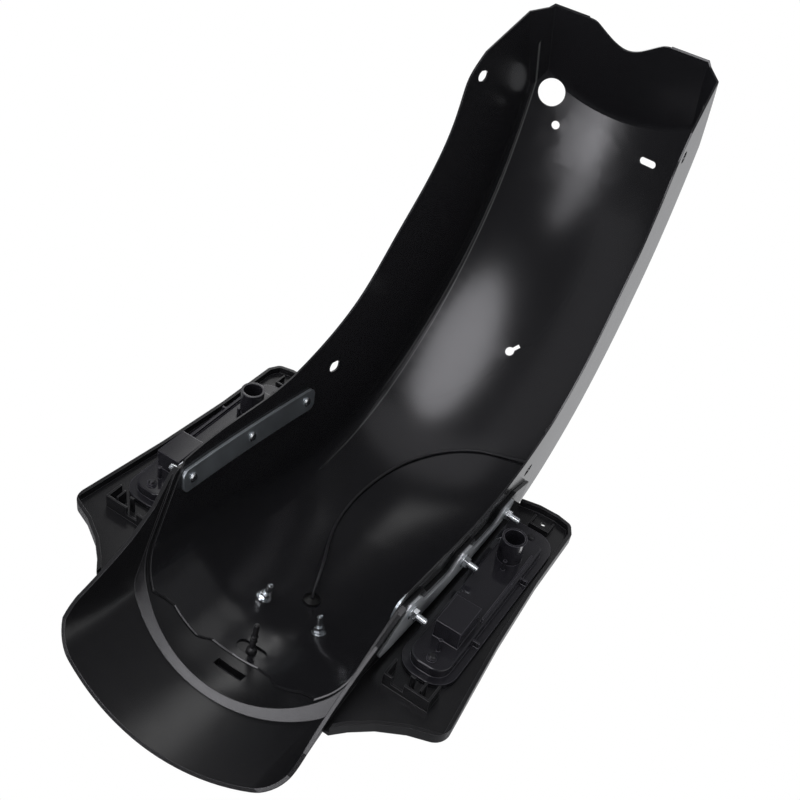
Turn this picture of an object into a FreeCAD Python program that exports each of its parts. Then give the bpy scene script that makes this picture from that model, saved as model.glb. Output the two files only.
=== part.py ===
import FreeCAD, Part
import Sketcher
import math
import os

V = FreeCAD.Vector
Rot = FreeCAD.Rotation
Place = FreeCAD.Placement

# Motorcycle rear fender, seen here crown up.
# X is across the fender, +Y points to its front end and +Z up.
# The origin is on the axis through the two rear side slots.
# All lengths are millimetres and all angles degrees.

doc = FreeCAD.newDocument("rear_fender")
sheet = doc.addObject("Spreadsheet::Sheet", "Sizes")

SIZES = [
    ("slot_phi", 122.24, "rear side slots, angle about the wheel axis"),
    ("slot_depth", 103.54, "rear side slots, below the crown"),
    ("crown_radius", 366.0, "inner radius of the crown about the wheel axis"),
    ("crown_drop", 8.0, "how much the radius falls towards the rear"),
    ("crown_rise", 23.0, "how much the radius grows again at the tail"),
    ("lateral_front", 290.0, "cross radius of the crown, front and middle"),
    ("tail_round", 8.0, "cross radius of the crown at the tail, over the half width"),
    ("corner_front", 7.0, "inner corner between crown and wall, front"),
    ("corner_rear", 45.0, "the same corner at the tail"),
    ("half_width", 100.0, "inner half width at width_radius, front"),
    ("rear_spread", 3.5, "how much the half width grows towards the rear"),
    ("width_radius", 218.0, "radius where the half width is taken"),
    ("draft", 0.115, "how far the walls close in per unit of radius"),
    ("steel", 1.5, "sheet thickness"),
    ("panel_drop", 38.9, "end panel, how far inside the crown radius its plane is"),
    ("panel_run", 73.7, "front edge of the end panel, along it"),
    ("panel_tilt", 34.0, "end panel from the vertical"),
    ("bend_radius", 14.0, "inner radius between crown and end panel"),
    ("front_in", 27.5, "flat end panel, narrower than the fender by this on each side"),
    ("front_wall", 5.0, "slanting corners, where they would meet the wall, inside the half width"),
    ("front_back", 27.0, "how far the slanting corner runs back"),
    ("notch_half", 32.0, "half width of the front notch"),
    ("notch_depth", 18.5, "depth of the front notch along the panel"),
    ("wall_depth", 138.0, "from the crown to the free edge, middle"),
    ("slot_gap", 285.0, "from the rear to the front side slots"),
    ("slot_length", 14.0, "side slot, end to end"),
    ("slot_width", 9.5, "side slot, across"),
    ("harness_radius", 13.0, "round harness hole"),
    ("harness_x", 64.0, "round harness hole, sideways"),
    ("harness_phi", 60.6, "round harness hole, angle on the crown"),
    ("pilot_radius", 4.0, "small round hole"),
    ("pilot_x", 51.0, "small round hole, sideways"),
    ("pilot_phi", 65.0, "small round hole, angle on the crown"),
    ("cross_x", -45.0, "crown slot, sideways"),
    ("cross_phi", 65.0, "crown slot, angle on the crown"),
    ("cross_length", 17.0, "crown slot, end to end"),
    ("cross_width", 6.5, "crown slot, across"),
    ("key_phi", 99.0, "keyhole, angle on the crown"),
    ("key_radius", 4.5, "keyhole, round part"),
    ("key_slot", 4.0, "keyhole, width of the narrow part"),
    ("grommet_phi", 152.0, "cable grommet, angle on the crown"),
    ("grommet_radius", 5.5, "cable grommet, hole in the steel"),
    ("cable_radius", 1.2, "wiring cable"),
    ("stud_phi", 157.0, "crown studs, angle on the crown"),
    ("stud_x", 28.0, "crown studs, sideways"),
    ("stud_radius", 2.5, "all studs"),
    ("stud_play", 0.25, "radial clearance round a stud"),
    ("plug_phi", 165.0, "push fastener, angle on the crown"),
    ("plug_radius", 3.0, "push fastener, shank"),
    ("hatch_phi", 169.0, "rectangular slot of the fascia, angle"),
    ("hatch_length", 26.0, "rectangular slot, sideways"),
    ("hatch_width", 7.5, "rectangular slot, along the crown"),
    ("fascia_gap", 0.3, "between steel and fascia"),
    ("fascia_wall", 3.0, "fascia thickness"),
    ("fascia_phi", 140.0, "upper edge of the fascia on the crown"),
    ("joggle_z", -174.0, "ledge of the joggle, facing down"),
    ("lip_z", -231.0, "lowest section of the lip"),
    ("lip_top", 17.0, "rear face of the lip at the ledge, beyond the crown"),
    ("lip_low", 50.0, "rear face of the lip at the bottom, beyond the crown"),
    ("lip_draw", 0.5, "how much narrower the lip is at the bottom"),
    ("lip_round_top", 24.5, "cross radius of the lip over its half width, ledge"),
    ("lip_round_low", 69.0, "the same at the bottom"),
    ("wing_phi", 128.44, "upper end of the wing plane, angle"),
    ("wing_depth", 81.3, "upper end of the wing plane, below the crown"),
    ("wing_tilt", 51.3, "wing plane about the cross axis"),
    ("wing_rim", 6.0, "turned edge of the wing"),
    ("wing_wall", 3.0, "wing thickness"),
    ("bar_phi", 132.08, "first side stud, angle"),
    ("bar_depth", 101.9, "first side stud, below the crown"),
    ("bar_lean", 59.0, "slope of the line of side studs"),
    ("bar_pitch", 75.0, "distance between side studs"),
    ("bar_width", 20.0, "inner stud bar"),
    ("bar_plate", 2.5, "inner stud bar, thickness"),
    ("bracket_plate", 2.0, "outer bracket, thickness"),
    ("lamp_in", 8.0, "lamp flange, inner edge, outside the half width"),
    ("lamp_out", 52.0, "lamp flange, outer edge, outside the half width"),
    ("lamp_top", 10.0, "lamp flange, upper end along the wing"),
    ("lamp_low", 191.0, "lamp flange, lower end along the wing"),
    ("lamp_flange", 3.0, "lamp flange thickness"),
    ("lamp_deep", 8.0, "height of the lamp housing over its flange"),
    ("lamp_wall", 2.0, "wall of the lamp housing"),
    ("lamp_seal", 1.0, "gasket under the lamp flange"),
    ("lens_dome", 9.0, "how far the lens stands out of the wing"),
    ("lamp_round", 18.0, "lamp flange, lower corners"),
    ("lamp_shoulder", 19.0, "lamp flange, upper outer corner"),
    ("lamp_step", 6.0, "from the flange edge to the raised tray"),
    ("lamp_tray_top", 30.0, "upper end of the raised tray along the wing"),
    ("driver_x", 31.0, "driver box and screws, outside the half width"),
    ("driver_wide", 21.0, "driver box, across"),
    ("driver_top", 129.0, "driver box, upper end along the wing"),
    ("driver_low", 159.0, "driver box, lower end along the wing"),
    ("driver_deep", 17.0, "driver box, height over the tray"),
    ("socket_x", 28.5, "socket, outside the half width"),
    ("socket_at", 56.0, "socket, along the wing"),
    ("socket_radius", 10.0, "socket, outside"),
    ("socket_deep", 22.0, "socket, height over the tray"),
    ("boss_at", 177.0, "lower screw, along the wing"),
    ("boss_radius", 3.6, "boss of the lower screw"),
    ("top_screw_at", 19.0, "upper screw, along the wing"),
    ("screw_radius", 1.4, "lamp screws"),
    ("peg_radius", 1.5, "pegs on the tray"),
    ("peg_at", 71.0, "upper peg, along the wing"),
    ("peg_high", 10.0, "height of the upper peg"),
    ("post_at", 168.0, "lower peg, along the wing"),
    ("post_high", 12.0, "height of the lower peg"),
    ("rib_wide", 1.6, "ribs of the lamp housing"),
    ("rib_high", 2.5, "long rib over the tray"),
    ("rib_top", 46.0, "long rib, upper end along the wing"),
    ("rib_low", 126.0, "long rib, lower end along the wing"),
    ("gusset_high", 5.0, "short ribs between tray and flange edge"),
    ("gusset_top", 66.0, "first short rib, along the wing"),
    ("gusset_low", 141.0, "second short rib, along the wing"),
    ("screw_head", 1.8, "height of a lamp screw head"),
    ("screw_long", 6.0, "length of a lamp screw"),
    ("window_in", 5.5, "from the flange edge to the lens window"),
    ("window_top", 29.5, "upper end of the lens window along the wing"),
    ("lens_play", 0.3, "between the lens and its window"),
    ("lens_wall", 2.0, "lens thickness"),
    ("lens_corner", 12.0, "lens corners"),
    ("board_depth", 5.0, "light board, below the flange face"),
    ("board_play", 0.3, "between the board and the tray"),
    ("board_sheet", 1.6, "light board thickness"),
    ("tower_high", 12.0, "clip tower under the lamp, over the wing"),
    ("tower_low", 209.0, "clip tower, lower wall along the wing"),
    ("tower_wall", 1.8, "clip tower, wall"),
    ("pocket_deep", 7.0, "blind pocket behind the rectangular slot"),
    ("plug_thick", 6.0, "cable connector, thickness"),
    ("plug_wide", 9.0, "cable connector, width"),
    ("connector_long", 16.0, "cable connector, length"),
    ("stud_head", 1.8, "head of a side stud"),
    ("side_stud_out", 20.0, "side stud, end outside"),
    ("nut_flange", 5.6, "flange nut, foot radius"),
    ("nut_foot", 1.2, "flange nut, foot height"),
    ("nut_flats", 8.0, "flange nut, across flats"),
    ("nut_high", 3.8, "flange nut, hexagon height"),
    ("nut_play", 0.05, "between thread and stud, radius"),
    ("seat_play", 0.04, "under each nut on a side wall"),
    ("washer_radius", 6.5, "crown washer, outside"),
    ("washer_sheet", 1.0, "crown washer, thickness"),
    ("crown_seat", 0.3, "flat pieces on the curved crown"),
    ("crown_stud_long", 19.0, "crown stud"),
    ("plug_long", 27.0, "push fastener, inwards"),
]
for row, (alias, value, what) in enumerate(SIZES, start=1):
    sheet.set("A%d" % row, what)
    sheet.set("B%d" % row, str(value))
    sheet.setAlias("B%d" % row, alias)
doc.recompute()


def size(name):
    return float(sheet.get(name))


crown_radius = size("crown_radius")


def about(centre_y, centre_z, phi, r):
    # point in side view at an angle and a radius about a centre
    turn = math.radians(phi)
    return centre_y + r * math.cos(turn), centre_z + r * math.sin(turn)


# The wheel axis follows from the rear slots, where the origin is
to_slots = crown_radius - size("slot_depth")
wheel_y, wheel_z = about(0.0, 0.0, size("slot_phi"), -to_slots)
half_width = size("half_width")
width_radius = size("width_radius")
draft = size("draft")
steel = size("steel")
fascia_in = steel + size("fascia_gap")
fascia_out = fascia_in + size("fascia_wall")
bracket_out = fascia_out + size("bracket_plate")
stud_radius = size("stud_radius")
stud_hole = stud_radius + size("stud_play")


def ease(low, high, value):
    part = max(0.0, min(1.0, (value - low) / (high - low)))
    return part * part * (3.0 - 2.0 * part)


def section_at(phi):
    blend = ease(112.0, 172.0, phi)
    curve = (1.0 - blend) / size("lateral_front") + blend / (half_width + size("tail_round"))
    corner = size("corner_front")
    corner += (size("corner_rear") - corner) * ease(112.0, 160.0, phi)
    top = crown_radius - size("crown_drop") * ease(115.0, 152.0, phi)
    top += size("crown_rise") * ease(158.0, 178.0, phi)
    return top, 1.0 / curve, corner


def wide_at(phi):
    return half_width + size("rear_spread") * ease(72.0, 118.0, phi)


def corner_centre(top, cross, corner, wide, wide_r, slope):
    # centre of the corner arc, tangent inside to the crown arc and the wall
    unit = math.hypot(1.0, slope)
    ax = wide - corner / unit
    ar = wide_r - corner * slope / unit
    dx = -slope / unit
    dr = 1.0 / unit
    br = ar - (top - cross)
    half_b = ax * dx + br * dr
    rest = ax * ax + br * br - (cross - corner) ** 2
    step = -half_b + math.sqrt(half_b * half_b - rest)
    return ax + step * dx, ar + step * dr


def arch_wire(top, cross, corner, wide, wide_r, slope, offset, low, put):
    # closed section: two straight walls, two corner arcs, the crown arc
    qx, qr = corner_centre(top, cross, corner, wide, wide_r, slope)
    unit = math.hypot(1.0, slope)
    mid = top - cross
    ux = qx / (cross - corner)
    ur = (qr - mid) / (cross - corner)
    round_out = corner + offset
    cross_out = cross + offset
    crown_x = ux * cross_out
    crown_r = mid + ur * cross_out
    wall_x = qx + round_out / unit
    wall_r = qr + round_out * slope / unit
    foot_x = wall_x + (wall_r - low) * slope
    bx = ux + 1.0 / unit
    br = ur + slope / unit
    bend = math.hypot(bx, br)
    bend_x = qx + round_out * bx / bend
    bend_r = qr + round_out * br / bend
    right = [put(foot_x, low), put(wall_x, wall_r), put(bend_x, bend_r), put(crown_x, crown_r)]
    left = [put(-foot_x, low), put(-wall_x, wall_r), put(-bend_x, bend_r), put(-crown_x, crown_r)]
    edges = [
        Part.LineSegment(right[0], right[1]).toShape(),
        Part.Arc(right[1], right[2], right[3]).toShape(),
        Part.Arc(right[3], put(0.0, top + offset), left[3]).toShape(),
        Part.Arc(left[3], left[2], left[1]).toShape(),
        Part.LineSegment(left[1], left[0]).toShape(),
        Part.LineSegment(left[0], right[0]).toShape(),
    ]
    return Part.Wire(edges)


def ring_wire(phi, offset, low):
    turn = math.radians(phi)

    def put(x, r):
        return V(x, wheel_y + r * math.cos(turn), wheel_z + r * math.sin(turn))

    top, cross, corner = section_at(phi)
    return arch_wire(top, cross, corner, wide_at(phi), width_radius, draft, offset, low, put)


def ring_body(offset, first, last, low=150.0):
    # sections on one common grid of angles, closer where the form changes
    grid = [12.0 * i for i in range(3, 10)] + [112.0 + 4.0 * i for i in range(21)]
    angles = [a for a in grid if first - 0.1 < a < last + 0.1]
    return Part.makeLoft([ring_wire(a, offset, low) for a in angles], True, False)


def crown_point(phi, x):
    top, cross, corner = section_at(phi)
    turn = math.radians(phi)
    r = top - cross + math.sqrt(cross * cross - x * x)
    return V(x, wheel_y + r * math.cos(turn), wheel_z + r * math.sin(turn))


def crown_place(phi, x):
    # point on the inner crown and the frame whose Z leaves it outwards
    ahead = crown_point(phi - 0.5, x) - crown_point(phi + 0.5, x)
    aside = crown_point(phi, x + 0.5) - crown_point(phi, x - 0.5)
    normal = aside.cross(ahead)
    normal.normalize()
    return Place(crown_point(phi, x), Rot(aside, ahead, normal, "ZXY"))


def wall_place(y, z):
    # the same on the inner face of the +X wall, where it is a cone
    r = math.hypot(y - wheel_y, z - wheel_z)
    radial = V(0, (y - wheel_y) / r, (z - wheel_z) / r)
    phi = math.degrees(math.atan2(z - wheel_z, y - wheel_y))
    x = wide_at(phi) - draft * (r - width_radius)
    normal = V(1, 0, 0) + radial * draft
    normal.normalize()
    across = V(1, 0, 0).cross(normal)
    across.normalize()
    return Place(V(x, y, z), Rot(normal.cross(across) * -1, across * -1, normal, "ZXY"))


def prism(points, x_low, x_high):
    # side view outline carried across the fender
    wire = Part.makePolygon([V(x_low, y, z) for y, z in points + points[:1]])
    return Part.Face(wire).extrude(V(x_high - x_low, 0, 0))


def slab(points, y_low, y_high):
    # rear view outline carried along the fender
    wire = Part.makePolygon([V(x, y_low, z) for x, z in points + points[:1]])
    return Part.Face(wire).extrude(V(0, y_high - y_low, 0))


def cutter(place, radius, low, high):
    tool = Part.makeCylinder(radius, high - low, V(0, 0, low), V(0, 0, 1))
    tool.Placement = place.multiply(tool.Placement)
    return tool


def slot_cutter(place, length, width, low, high, turn=0.0):
    half = (length - width) / 2.0
    box = Part.makeBox(2 * half, width, high - low, V(-half, -width / 2.0, low))
    ends = [Part.makeCylinder(width / 2.0, high - low, V(s * half, 0, low)) for s in (-1, 1)]
    tool = box.fuse(ends).removeSplitter()
    tool.Placement = place.multiply(Place(V(0, 0, 0), Rot(V(0, 0, 1), turn)))
    return tool


def only_solid(shape):
    solids = sorted(shape.Solids, key=lambda one: one.Volume)
    return solids[-1]


# Limits of the shell at its front end
panel_turn = math.radians(size("panel_tilt"))
panel_up = V(0, -math.sin(panel_turn), math.cos(panel_turn))
panel_out = V(0, math.cos(panel_turn), math.sin(panel_turn))
panel_foot = V(0, wheel_y, wheel_z) + panel_out * (crown_radius - size("panel_drop"))
panel_edge = panel_foot + panel_up * size("panel_run")
panel_y = panel_edge.y
panel_z = panel_edge.z
far = crown_radius + 80.0
front_half = half_width - size("front_in")


def front_limit(offset):
    # end panel and slanting corners, set out by the sheet thickness
    out_x = half_width - size("front_wall") - front_half
    back_y = size("front_back")
    run = math.hypot(out_x, back_y)
    trace = V(out_x / run, -back_y / run, 0)
    face = panel_up.cross(trace) * -1
    face.normalize()
    plan = V(back_y / run, out_x / run, 0)
    shift = offset / abs(face.dot(plan))
    front = panel_y + offset / math.cos(panel_turn)
    base = V(front_half, panel_y, 0) + plan * shift
    start = (front - base.y) / trace.y
    a = base + trace * start
    b = base + trace * ((150.0 - base.x) / trace.x)
    right = [V(a.x, a.y, 0), V(b.x, b.y, 0), V(b.x, -600, 0)]
    pts = right + [V(-p.x, p.y, 0) for p in reversed(right)]
    down = panel_up * -300.0
    lift = V(0, 0, panel_z)
    wire = Part.makePolygon([p + lift + down for p in pts + pts[:1]])
    return Part.Face(wire).extrude(panel_up * 800.0)


def bend_edges(solid, offset):
    # edges where the end panel meets the crown
    found = []
    for edge in solid.Edges:
        mid = edge.valueAt((edge.FirstParameter + edge.LastParameter) / 2.0)
        on_panel = abs((mid - panel_edge).dot(panel_out) - offset) < 0.05
        high = (mid - panel_edge).dot(panel_up) > size("panel_run") / 2.0
        if on_panel and high and edge.BoundBox.XLength > front_half:
            found.append(edge)
    if not found:
        raise RuntimeError("the end panel doesn't meet the crown")
    return found


outer = ring_body(steel, 36.0, 188.0).common(front_limit(steel))
inner = ring_body(0.0, 36.0, 188.0, 140.0).common(front_limit(0.0))
outer = outer.makeFillet(size("bend_radius") + steel, bend_edges(outer, steel))
inner = inner.makeFillet(size("bend_radius"), bend_edges(inner, 0.0))

# Free edge of the walls in side view: angle about the wheel axis and
# distance below or above the middle depth
edge_radius = crown_radius - size("wall_depth")
FREE_EDGE = [
    (52.0, 35.0), (54.5, 23.5), (57.0, 16.5), (60.0, 14.0), (64.5, 12.5), (74.0, 7.0), (91.0, -4.0),
    (109.0, 0.0), (126.0, 0.0), (138.0, 0.5), (150.0, 0.5), (158.5, 5.0), (168.0, 20.0),
]
rim = []
for phi, extra in FREE_EDGE:
    r = edge_radius + extra
    rim.append(V(0, wheel_y + r * math.cos(math.radians(phi)), wheel_z + r * math.sin(math.radians(phi))))
curve = Part.BSplineCurve()
curve.interpolate(rim)
nose_low = V(0, panel_y - 3.0, panel_z)
corner_points = [
    rim[-1], V(0, rim[-1].y - 12.0, rim[-1].z - 60.0), V(0, wheel_y - far, rim[-1].z - 60.0),
    V(0, wheel_y - far, wheel_z + far), V(0, wheel_y + far, wheel_z + far), V(0, wheel_y + far, panel_z),
    nose_low, rim[0],
]
outline = [curve.toShape()]
outline += [Part.LineSegment(a, b).toShape() for a, b in zip(corner_points[:-1], corner_points[1:])]
keep = Part.Face(Part.Wire(Part.__sortEdges__(outline)))
keep.translate(V(-200, 0, 0))
keep = keep.extrude(V(400, 0, 0))

shell = outer.cut(inner).common(keep)

# Stepped trailing edge, seen from the rear, above the joggle
tail_z = size("joggle_z") + size("fascia_wall") + 1.0
TAIL = [
    (130, 0), (76, 0), (69, 9), (62, 15), (36, 20), (27, 28), (8, 31), (-15, 32), (-27, 29),
    (-37, 21), (-60, 15), (-68, 9), (-75, 0), (-130, 0),
]
tail = [(x, tail_z + up) for x, up in TAIL] + [(-130, tail_z - 120), (130, tail_z - 120)]
shell = shell.cut(slab(tail, wheel_y - far, wheel_y - crown_radius / 2.0))

# Front notch, an arch with rounded shoulders
notch_half = size("notch_half")
notch_deep = size("notch_depth")
shoulder = 7.0
notch = [
    V(-notch_half - shoulder, -60, 0), V(-notch_half - shoulder, 0, 0), V(-notch_half + 4, 3.5, 0),
    V(0, notch_deep, 0), V(notch_half - 4, 3.5, 0), V(notch_half + shoulder, 0, 0),
    V(notch_half + shoulder, -60, 0),
]
arch = Part.BSplineCurve()
arch.interpolate(notch[1:6], InitialTangent=V(1, 0, 0), FinalTangent=V(1, 0, 0))
notch_wire = Part.Wire([
    arch.toShape(),
    Part.LineSegment(notch[5], notch[6]).toShape(),
    Part.LineSegment(notch[6], notch[0]).toShape(),
    Part.LineSegment(notch[0], notch[1]).toShape(),
])
notch_tool = Part.Face(notch_wire)
notch_tool.translate(V(0, 0, -40))
notch_tool = notch_tool.extrude(V(0, 0, 80))
notch_tool.Placement = Place(panel_edge, Rot(V(1, 0, 0), panel_up, panel_out * -1, "ZXY"))
shell = shell.cut(notch_tool)

# Holes of the crown and the walls
harness = crown_place(size("harness_phi"), size("harness_x"))
pilot = crown_place(size("pilot_phi"), size("pilot_x"))
cross_slot = crown_place(size("cross_phi"), size("cross_x"))
keyhole = crown_place(size("key_phi"), 0.0)
grommet_at = crown_place(size("grommet_phi"), 0.0)
plug_at = crown_place(size("plug_phi"), 0.0)
hatch_at = crown_place(size("hatch_phi"), 0.0)
crown_studs = [crown_place(size("stud_phi"), s * size("stud_x")) for s in (1, -1)]

key_radius = size("key_radius")
key_narrow = Part.makeBox(size("key_slot"), 2.4 * key_radius, 20, V(-size("key_slot") / 2.0, 0, -8))
key_narrow.Placement = keyhole.multiply(Place(V(0, 0, 0), Rot(V(0, 0, 1), 35)))
tools = [
    cutter(harness, size("harness_radius"), -8, 10),
    cutter(pilot, size("pilot_radius"), -6, 8),
    slot_cutter(cross_slot, size("cross_length"), size("cross_width"), -8, 8),
    cutter(keyhole, key_radius, -8, 12),
    key_narrow,
    cutter(grommet_at, size("grommet_radius"), -6, 12),
    slot_cutter(plug_at, 26.0, 2 * size("plug_radius") + 6.0, -8, steel + 1),
]
tools += [cutter(at, stud_hole, -8, 12) for at in crown_studs]

bar_lean = math.radians(size("bar_lean"))
bar_dir = V(0, -math.cos(bar_lean), -math.sin(bar_lean))
first_stud = V(0, *about(wheel_y, wheel_z, size("bar_phi"), crown_radius - size("bar_depth")))
stud_spots = [first_stud + bar_dir * (size("bar_pitch") * i) for i in range(3)]
side_studs = [wall_place(p.y, p.z) for p in stud_spots]


def mirrored(shape):
    # the same piece on the -X side
    return shape.mirror(V(0, 0, 0), V(1, 0, 0))


side_holes = [cutter(at, stud_hole, -8, 16) for at in side_studs]
slot_tools = []
for y in (0.0, size("slot_gap")):
    box = Part.makeBox(240, size("slot_length") - size("slot_width"), size("slot_width"))
    box.translate(V(-120, -(size("slot_length") - size("slot_width")) / 2.0, -size("slot_width") / 2.0))
    half = (size("slot_length") - size("slot_width")) / 2.0
    wide = size("slot_width") / 2.0
    ends = [Part.makeCylinder(wide, 240, V(-120, s * half, 0), V(1, 0, 0)) for s in (-1, 1)]
    whole = box.fuse(ends).removeSplitter()
    whole.rotate(V(0, 0, 0), V(1, 0, 0), 62.0)
    whole.translate(V(0, y, 0))
    slot_tools.append(whole)
for tool in tools + side_holes + [mirrored(one) for one in side_holes] + slot_tools:
    shell = shell.cut(tool)
shell = only_solid(shell)


def add_shape(label, shape):
    made = doc.addObject("Part::Feature", label)
    made.Label = label
    made.Shape = shape
    made.Placement = Place(V(0, 0, 0), Rot(0, 0, 0, 1))
    return made


NODES = []
NODES.append(add_shape("fender_shell", shell))

# Fascia: a curved panel outside the steel, a joggle ledge and a lip
joggle_z = size("joggle_z")
ledge_top = joggle_z + size("fascia_wall")
skirt_first = 108.0
skirt_out = ring_body(fascia_out, skirt_first, 188.0)
skirt_in = ring_body(fascia_in, skirt_first - 12.0, 192.0, 140.0)


def lip_body(offset, z_low, z_high, low=60.0):
    lip_z = size("lip_z")
    rows = []
    for z in (z_low, (z_low + z_high) / 2.0, z_high):
        part = (joggle_z - z) / (joggle_z - lip_z)
        rear = crown_radius - wheel_y + size("lip_top") + (size("lip_low") - size("lip_top")) * part
        corner = 24.0 + (40.0 - 24.0) * part
        wide = wide_at(150.0) - size("lip_draw") * part
        cross = wide + size("lip_round_top") + (size("lip_round_low") - size("lip_round_top")) * part
        slope = 0.12 + (0.01 - 0.12) * part

        def put(x, r, z=z):
            return V(x, -r, z)

        rows.append(arch_wire(rear, cross, corner, wide, wide + 2.0, slope, offset, low, put))
    return Part.makeLoft(rows, True, False)


low_z = size("lip_z") - 12.0
lip_out = lip_body(size("fascia_wall"), low_z, ledge_top)
lip_in = lip_body(0.0, low_z - 1.0, joggle_z, 50.0)


def above(z):
    return Part.makeBox(600, 800, 400, V(-300, -600, z))


half_ledge = size("fascia_wall") / 2.0
full = skirt_out.common(above(ledge_top - half_ledge)).fuse(lip_out)
hollow = skirt_in.common(above(joggle_z - 0.5)).fuse(lip_in)
panel = full.cut(hollow)

# Side outline of the fascia: upper edge on the crown, lugs round the side
# studs, then the free edge of the lip
across = V(0, -bar_dir.z, bar_dir.y)
if across.y < 0:
    across = across * -1
reach = crown_radius + 40.0
top_phi = math.radians(size("fascia_phi"))


def polar(phi, r):
    return about(wheel_y, wheel_z, phi, r)


def spot(along, side):
    p = first_stud + bar_dir * along + across * side
    return (p.y, p.z)


pitch = size("bar_pitch")
wing_turn = math.radians(size("wing_tilt"))
wing_y, wing_z = polar(size("wing_phi"), crown_radius - size("wing_depth"))


def wing_side(s, h):
    # point of the wing plane in side view, s down the wing, h to the wheel
    y = wing_y - s * math.cos(wing_turn) + h * math.sin(wing_turn)
    z = wing_z - s * math.sin(wing_turn) - h * math.cos(wing_turn)
    return (y, z)


wing_root = wing_side(-30.0, 4.0)
tail_y = wheel_y - crown_radius
lip_front = (tail_y + 110.0, joggle_z - 1.0)
LIP_EDGE = [
    (84.0, 7.0), (58.0, 19.0), (38.0, 31.0), (25.0, 39.0), (10.0, 48.0), (-6.0, 54.0), (-27.0, 54.0),
    (-48.0, 52.0), (-74.0, 50.0),
]
SIDE = [
    polar(size("fascia_phi"), reach), polar(size("fascia_phi"), crown_radius - 18.0),
    (wing_root[0] - 14.0, wing_root[1] + 16.0), (wing_root[0] + 5.0, wing_root[1]),
    spot(-15.0, 12.0), spot(14.0, 12.0), spot(22.0, 2.0), spot(pitch - 22.0, 2.0), spot(pitch - 13.0, 12.0),
    spot(pitch + 13.0, 12.0), spot(pitch + 22.0, 2.0), spot(2 * pitch - 22.0, 2.0),
    spot(2 * pitch - 13.0, 12.0), spot(2 * pitch + 12.0, 12.0), lip_front,
] + [(tail_y + ahead, joggle_z - down) for ahead, down in LIP_EDGE] + [
    (wheel_y - far, joggle_z - 50.0), (wheel_y - far, 200.0),
]
side_keep = prism(SIDE, -250.0, 250.0)
panel = panel.common(side_keep)

# Wings: flat pans that stand out from the side walls, in the wing plane
wing_place = Place(V(0, wing_y, wing_z), Rot(V(1, 0, 0), size("wing_tilt")))
rim_depth = size("wing_rim")
wing_wall = size("wing_wall")
WING = [
    (-30.0, 15.0), (3.0, 13.0), (21.0, 17.0), (38.0, 17.0), (51.0, 14.0), (56.5, 4.0),
    (57.5, -60.0), (62.0, -130.0), (71.5, -222.0), (47.0, -231.0), (28.0, -242.0), (14.0, -254.0),
    (5.0, -264.0), (-30.0, -264.0),
]
WING = [(half_width + out, up) for out, up in WING]


def wing_plate(points, low, high):
    wire = Part.makePolygon([V(x, y, low) for x, y in points + points[:1]])
    return Part.Face(wire).extrude(V(0, 0, high - low))


def shrink(points, by):
    # the same outline, set in by the wall of the rim on its outer side
    wire = Part.makePolygon([V(x, y, 0) for x, y in points + points[:1]])
    return wire.makeOffset2D(-by, 2, False, False, False)


wing_solid = wing_plate(WING, -rim_depth, wing_wall)


def wing_corner(index, radius, solid):
    # rounds one corner of the wing outline
    x, y = WING[index]
    near = [e for e in solid.Edges if e.BoundBox.XLength < 0.01 and e.BoundBox.YLength < 0.01]
    near = [e for e in near if math.hypot(e.BoundBox.Center.x - x, e.BoundBox.Center.y - y) < 0.1]
    return solid.makeFillet(radius, near)


wing_solid = wing_corner(8, 13.0, wing_solid)
wing_solid = wing_corner(5, 5.0, wing_solid)
wing_solid = wing_corner(4, 7.0, wing_solid)
pocket_wire = shrink(WING, wing_wall)
pocket_face = Part.Face(pocket_wire)
pocket_face.translate(V(0, 0, -rim_depth - 1.0))
pocket = pocket_face.extrude(V(0, 0, rim_depth + 1.0))
inboard = Part.makeBox(40, 320, rim_depth + 1.0, V(half_width - 35, -290, -rim_depth - 1.0))
wing = wing_solid.cut(pocket).cut(inboard)

# Window for the lens, the hole with its U rib and the clip pocket
lamp_in = half_width + size("lamp_in")
lamp_out = half_width + size("lamp_out")
lamp_top = size("lamp_top")
lamp_low = size("lamp_low")
window_in = size("window_in")
window = Part.makeBox(
    lamp_out - lamp_in - 2 * window_in, lamp_low - window_in - size("window_top"), 20.0,
    V(lamp_in + window_in, -lamp_low + window_in, -10.0)
)
window = window.makeFillet(size("lens_corner"), [e for e in window.Edges if e.BoundBox.ZLength > 15])
wing = wing.cut(window)
screw_x = half_width + size("driver_x")
rib_out = Part.makeBox(18, 12, 6, V(screw_x - 9, -7, -6))
rib_out = rib_out.cut(Part.makeBox(15, 12, 7, V(screw_x - 7.5, -5.5, -7)))

# Clip tower: three walls under the lower end of the lamp, with two tabs
tower_wall = size("tower_wall")
tower_low = size("tower_low")
tower_high = size("tower_high")
tower_top = lamp_low + 2.0
tower_long = tower_low - tower_top
tower_wide = lamp_out - lamp_in - 6.0
tower = Part.makeBox(tower_wide, tower_long, tower_high, V(lamp_in + 3.0, -tower_low, -tower_high))
room = Part.makeBox(
    tower_wide - 2 * tower_wall, tower_long, tower_high + 1.0,
    V(lamp_in + 3.0 + tower_wall, -tower_low + tower_wall, -tower_high - 1.0)
)
mouth_at = V(screw_x - 13.0, -tower_low - tower_wall, -tower_high - 0.5)
mouth = Part.makeBox(10.0, 3 * tower_wall, tower_high - 4.0, mouth_at)
tower = tower.cut(room).cut(mouth)
tabs = [
    Part.makeBox(4.0, 1.6, tower_high + 3.0, V(screw_x - 3.0, -tower_top - 8.0, -tower_high - 3.0)),
    Part.makeBox(1.6, 9.0, tower_high + 2.0, V(screw_x + 8.0, -tower_top - 13.0, -tower_high - 2.0)),
]
wing = wing.fuse([rib_out, tower] + tabs)
wing = wing.cut(Part.makeCylinder(2.2, 20, V(screw_x, 5.0, -10)))
wing = wing.cut(Part.makeCylinder(size("screw_radius") + 0.2, 2.4, V(screw_x, -size("top_screw_at"), -0.01)))
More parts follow.
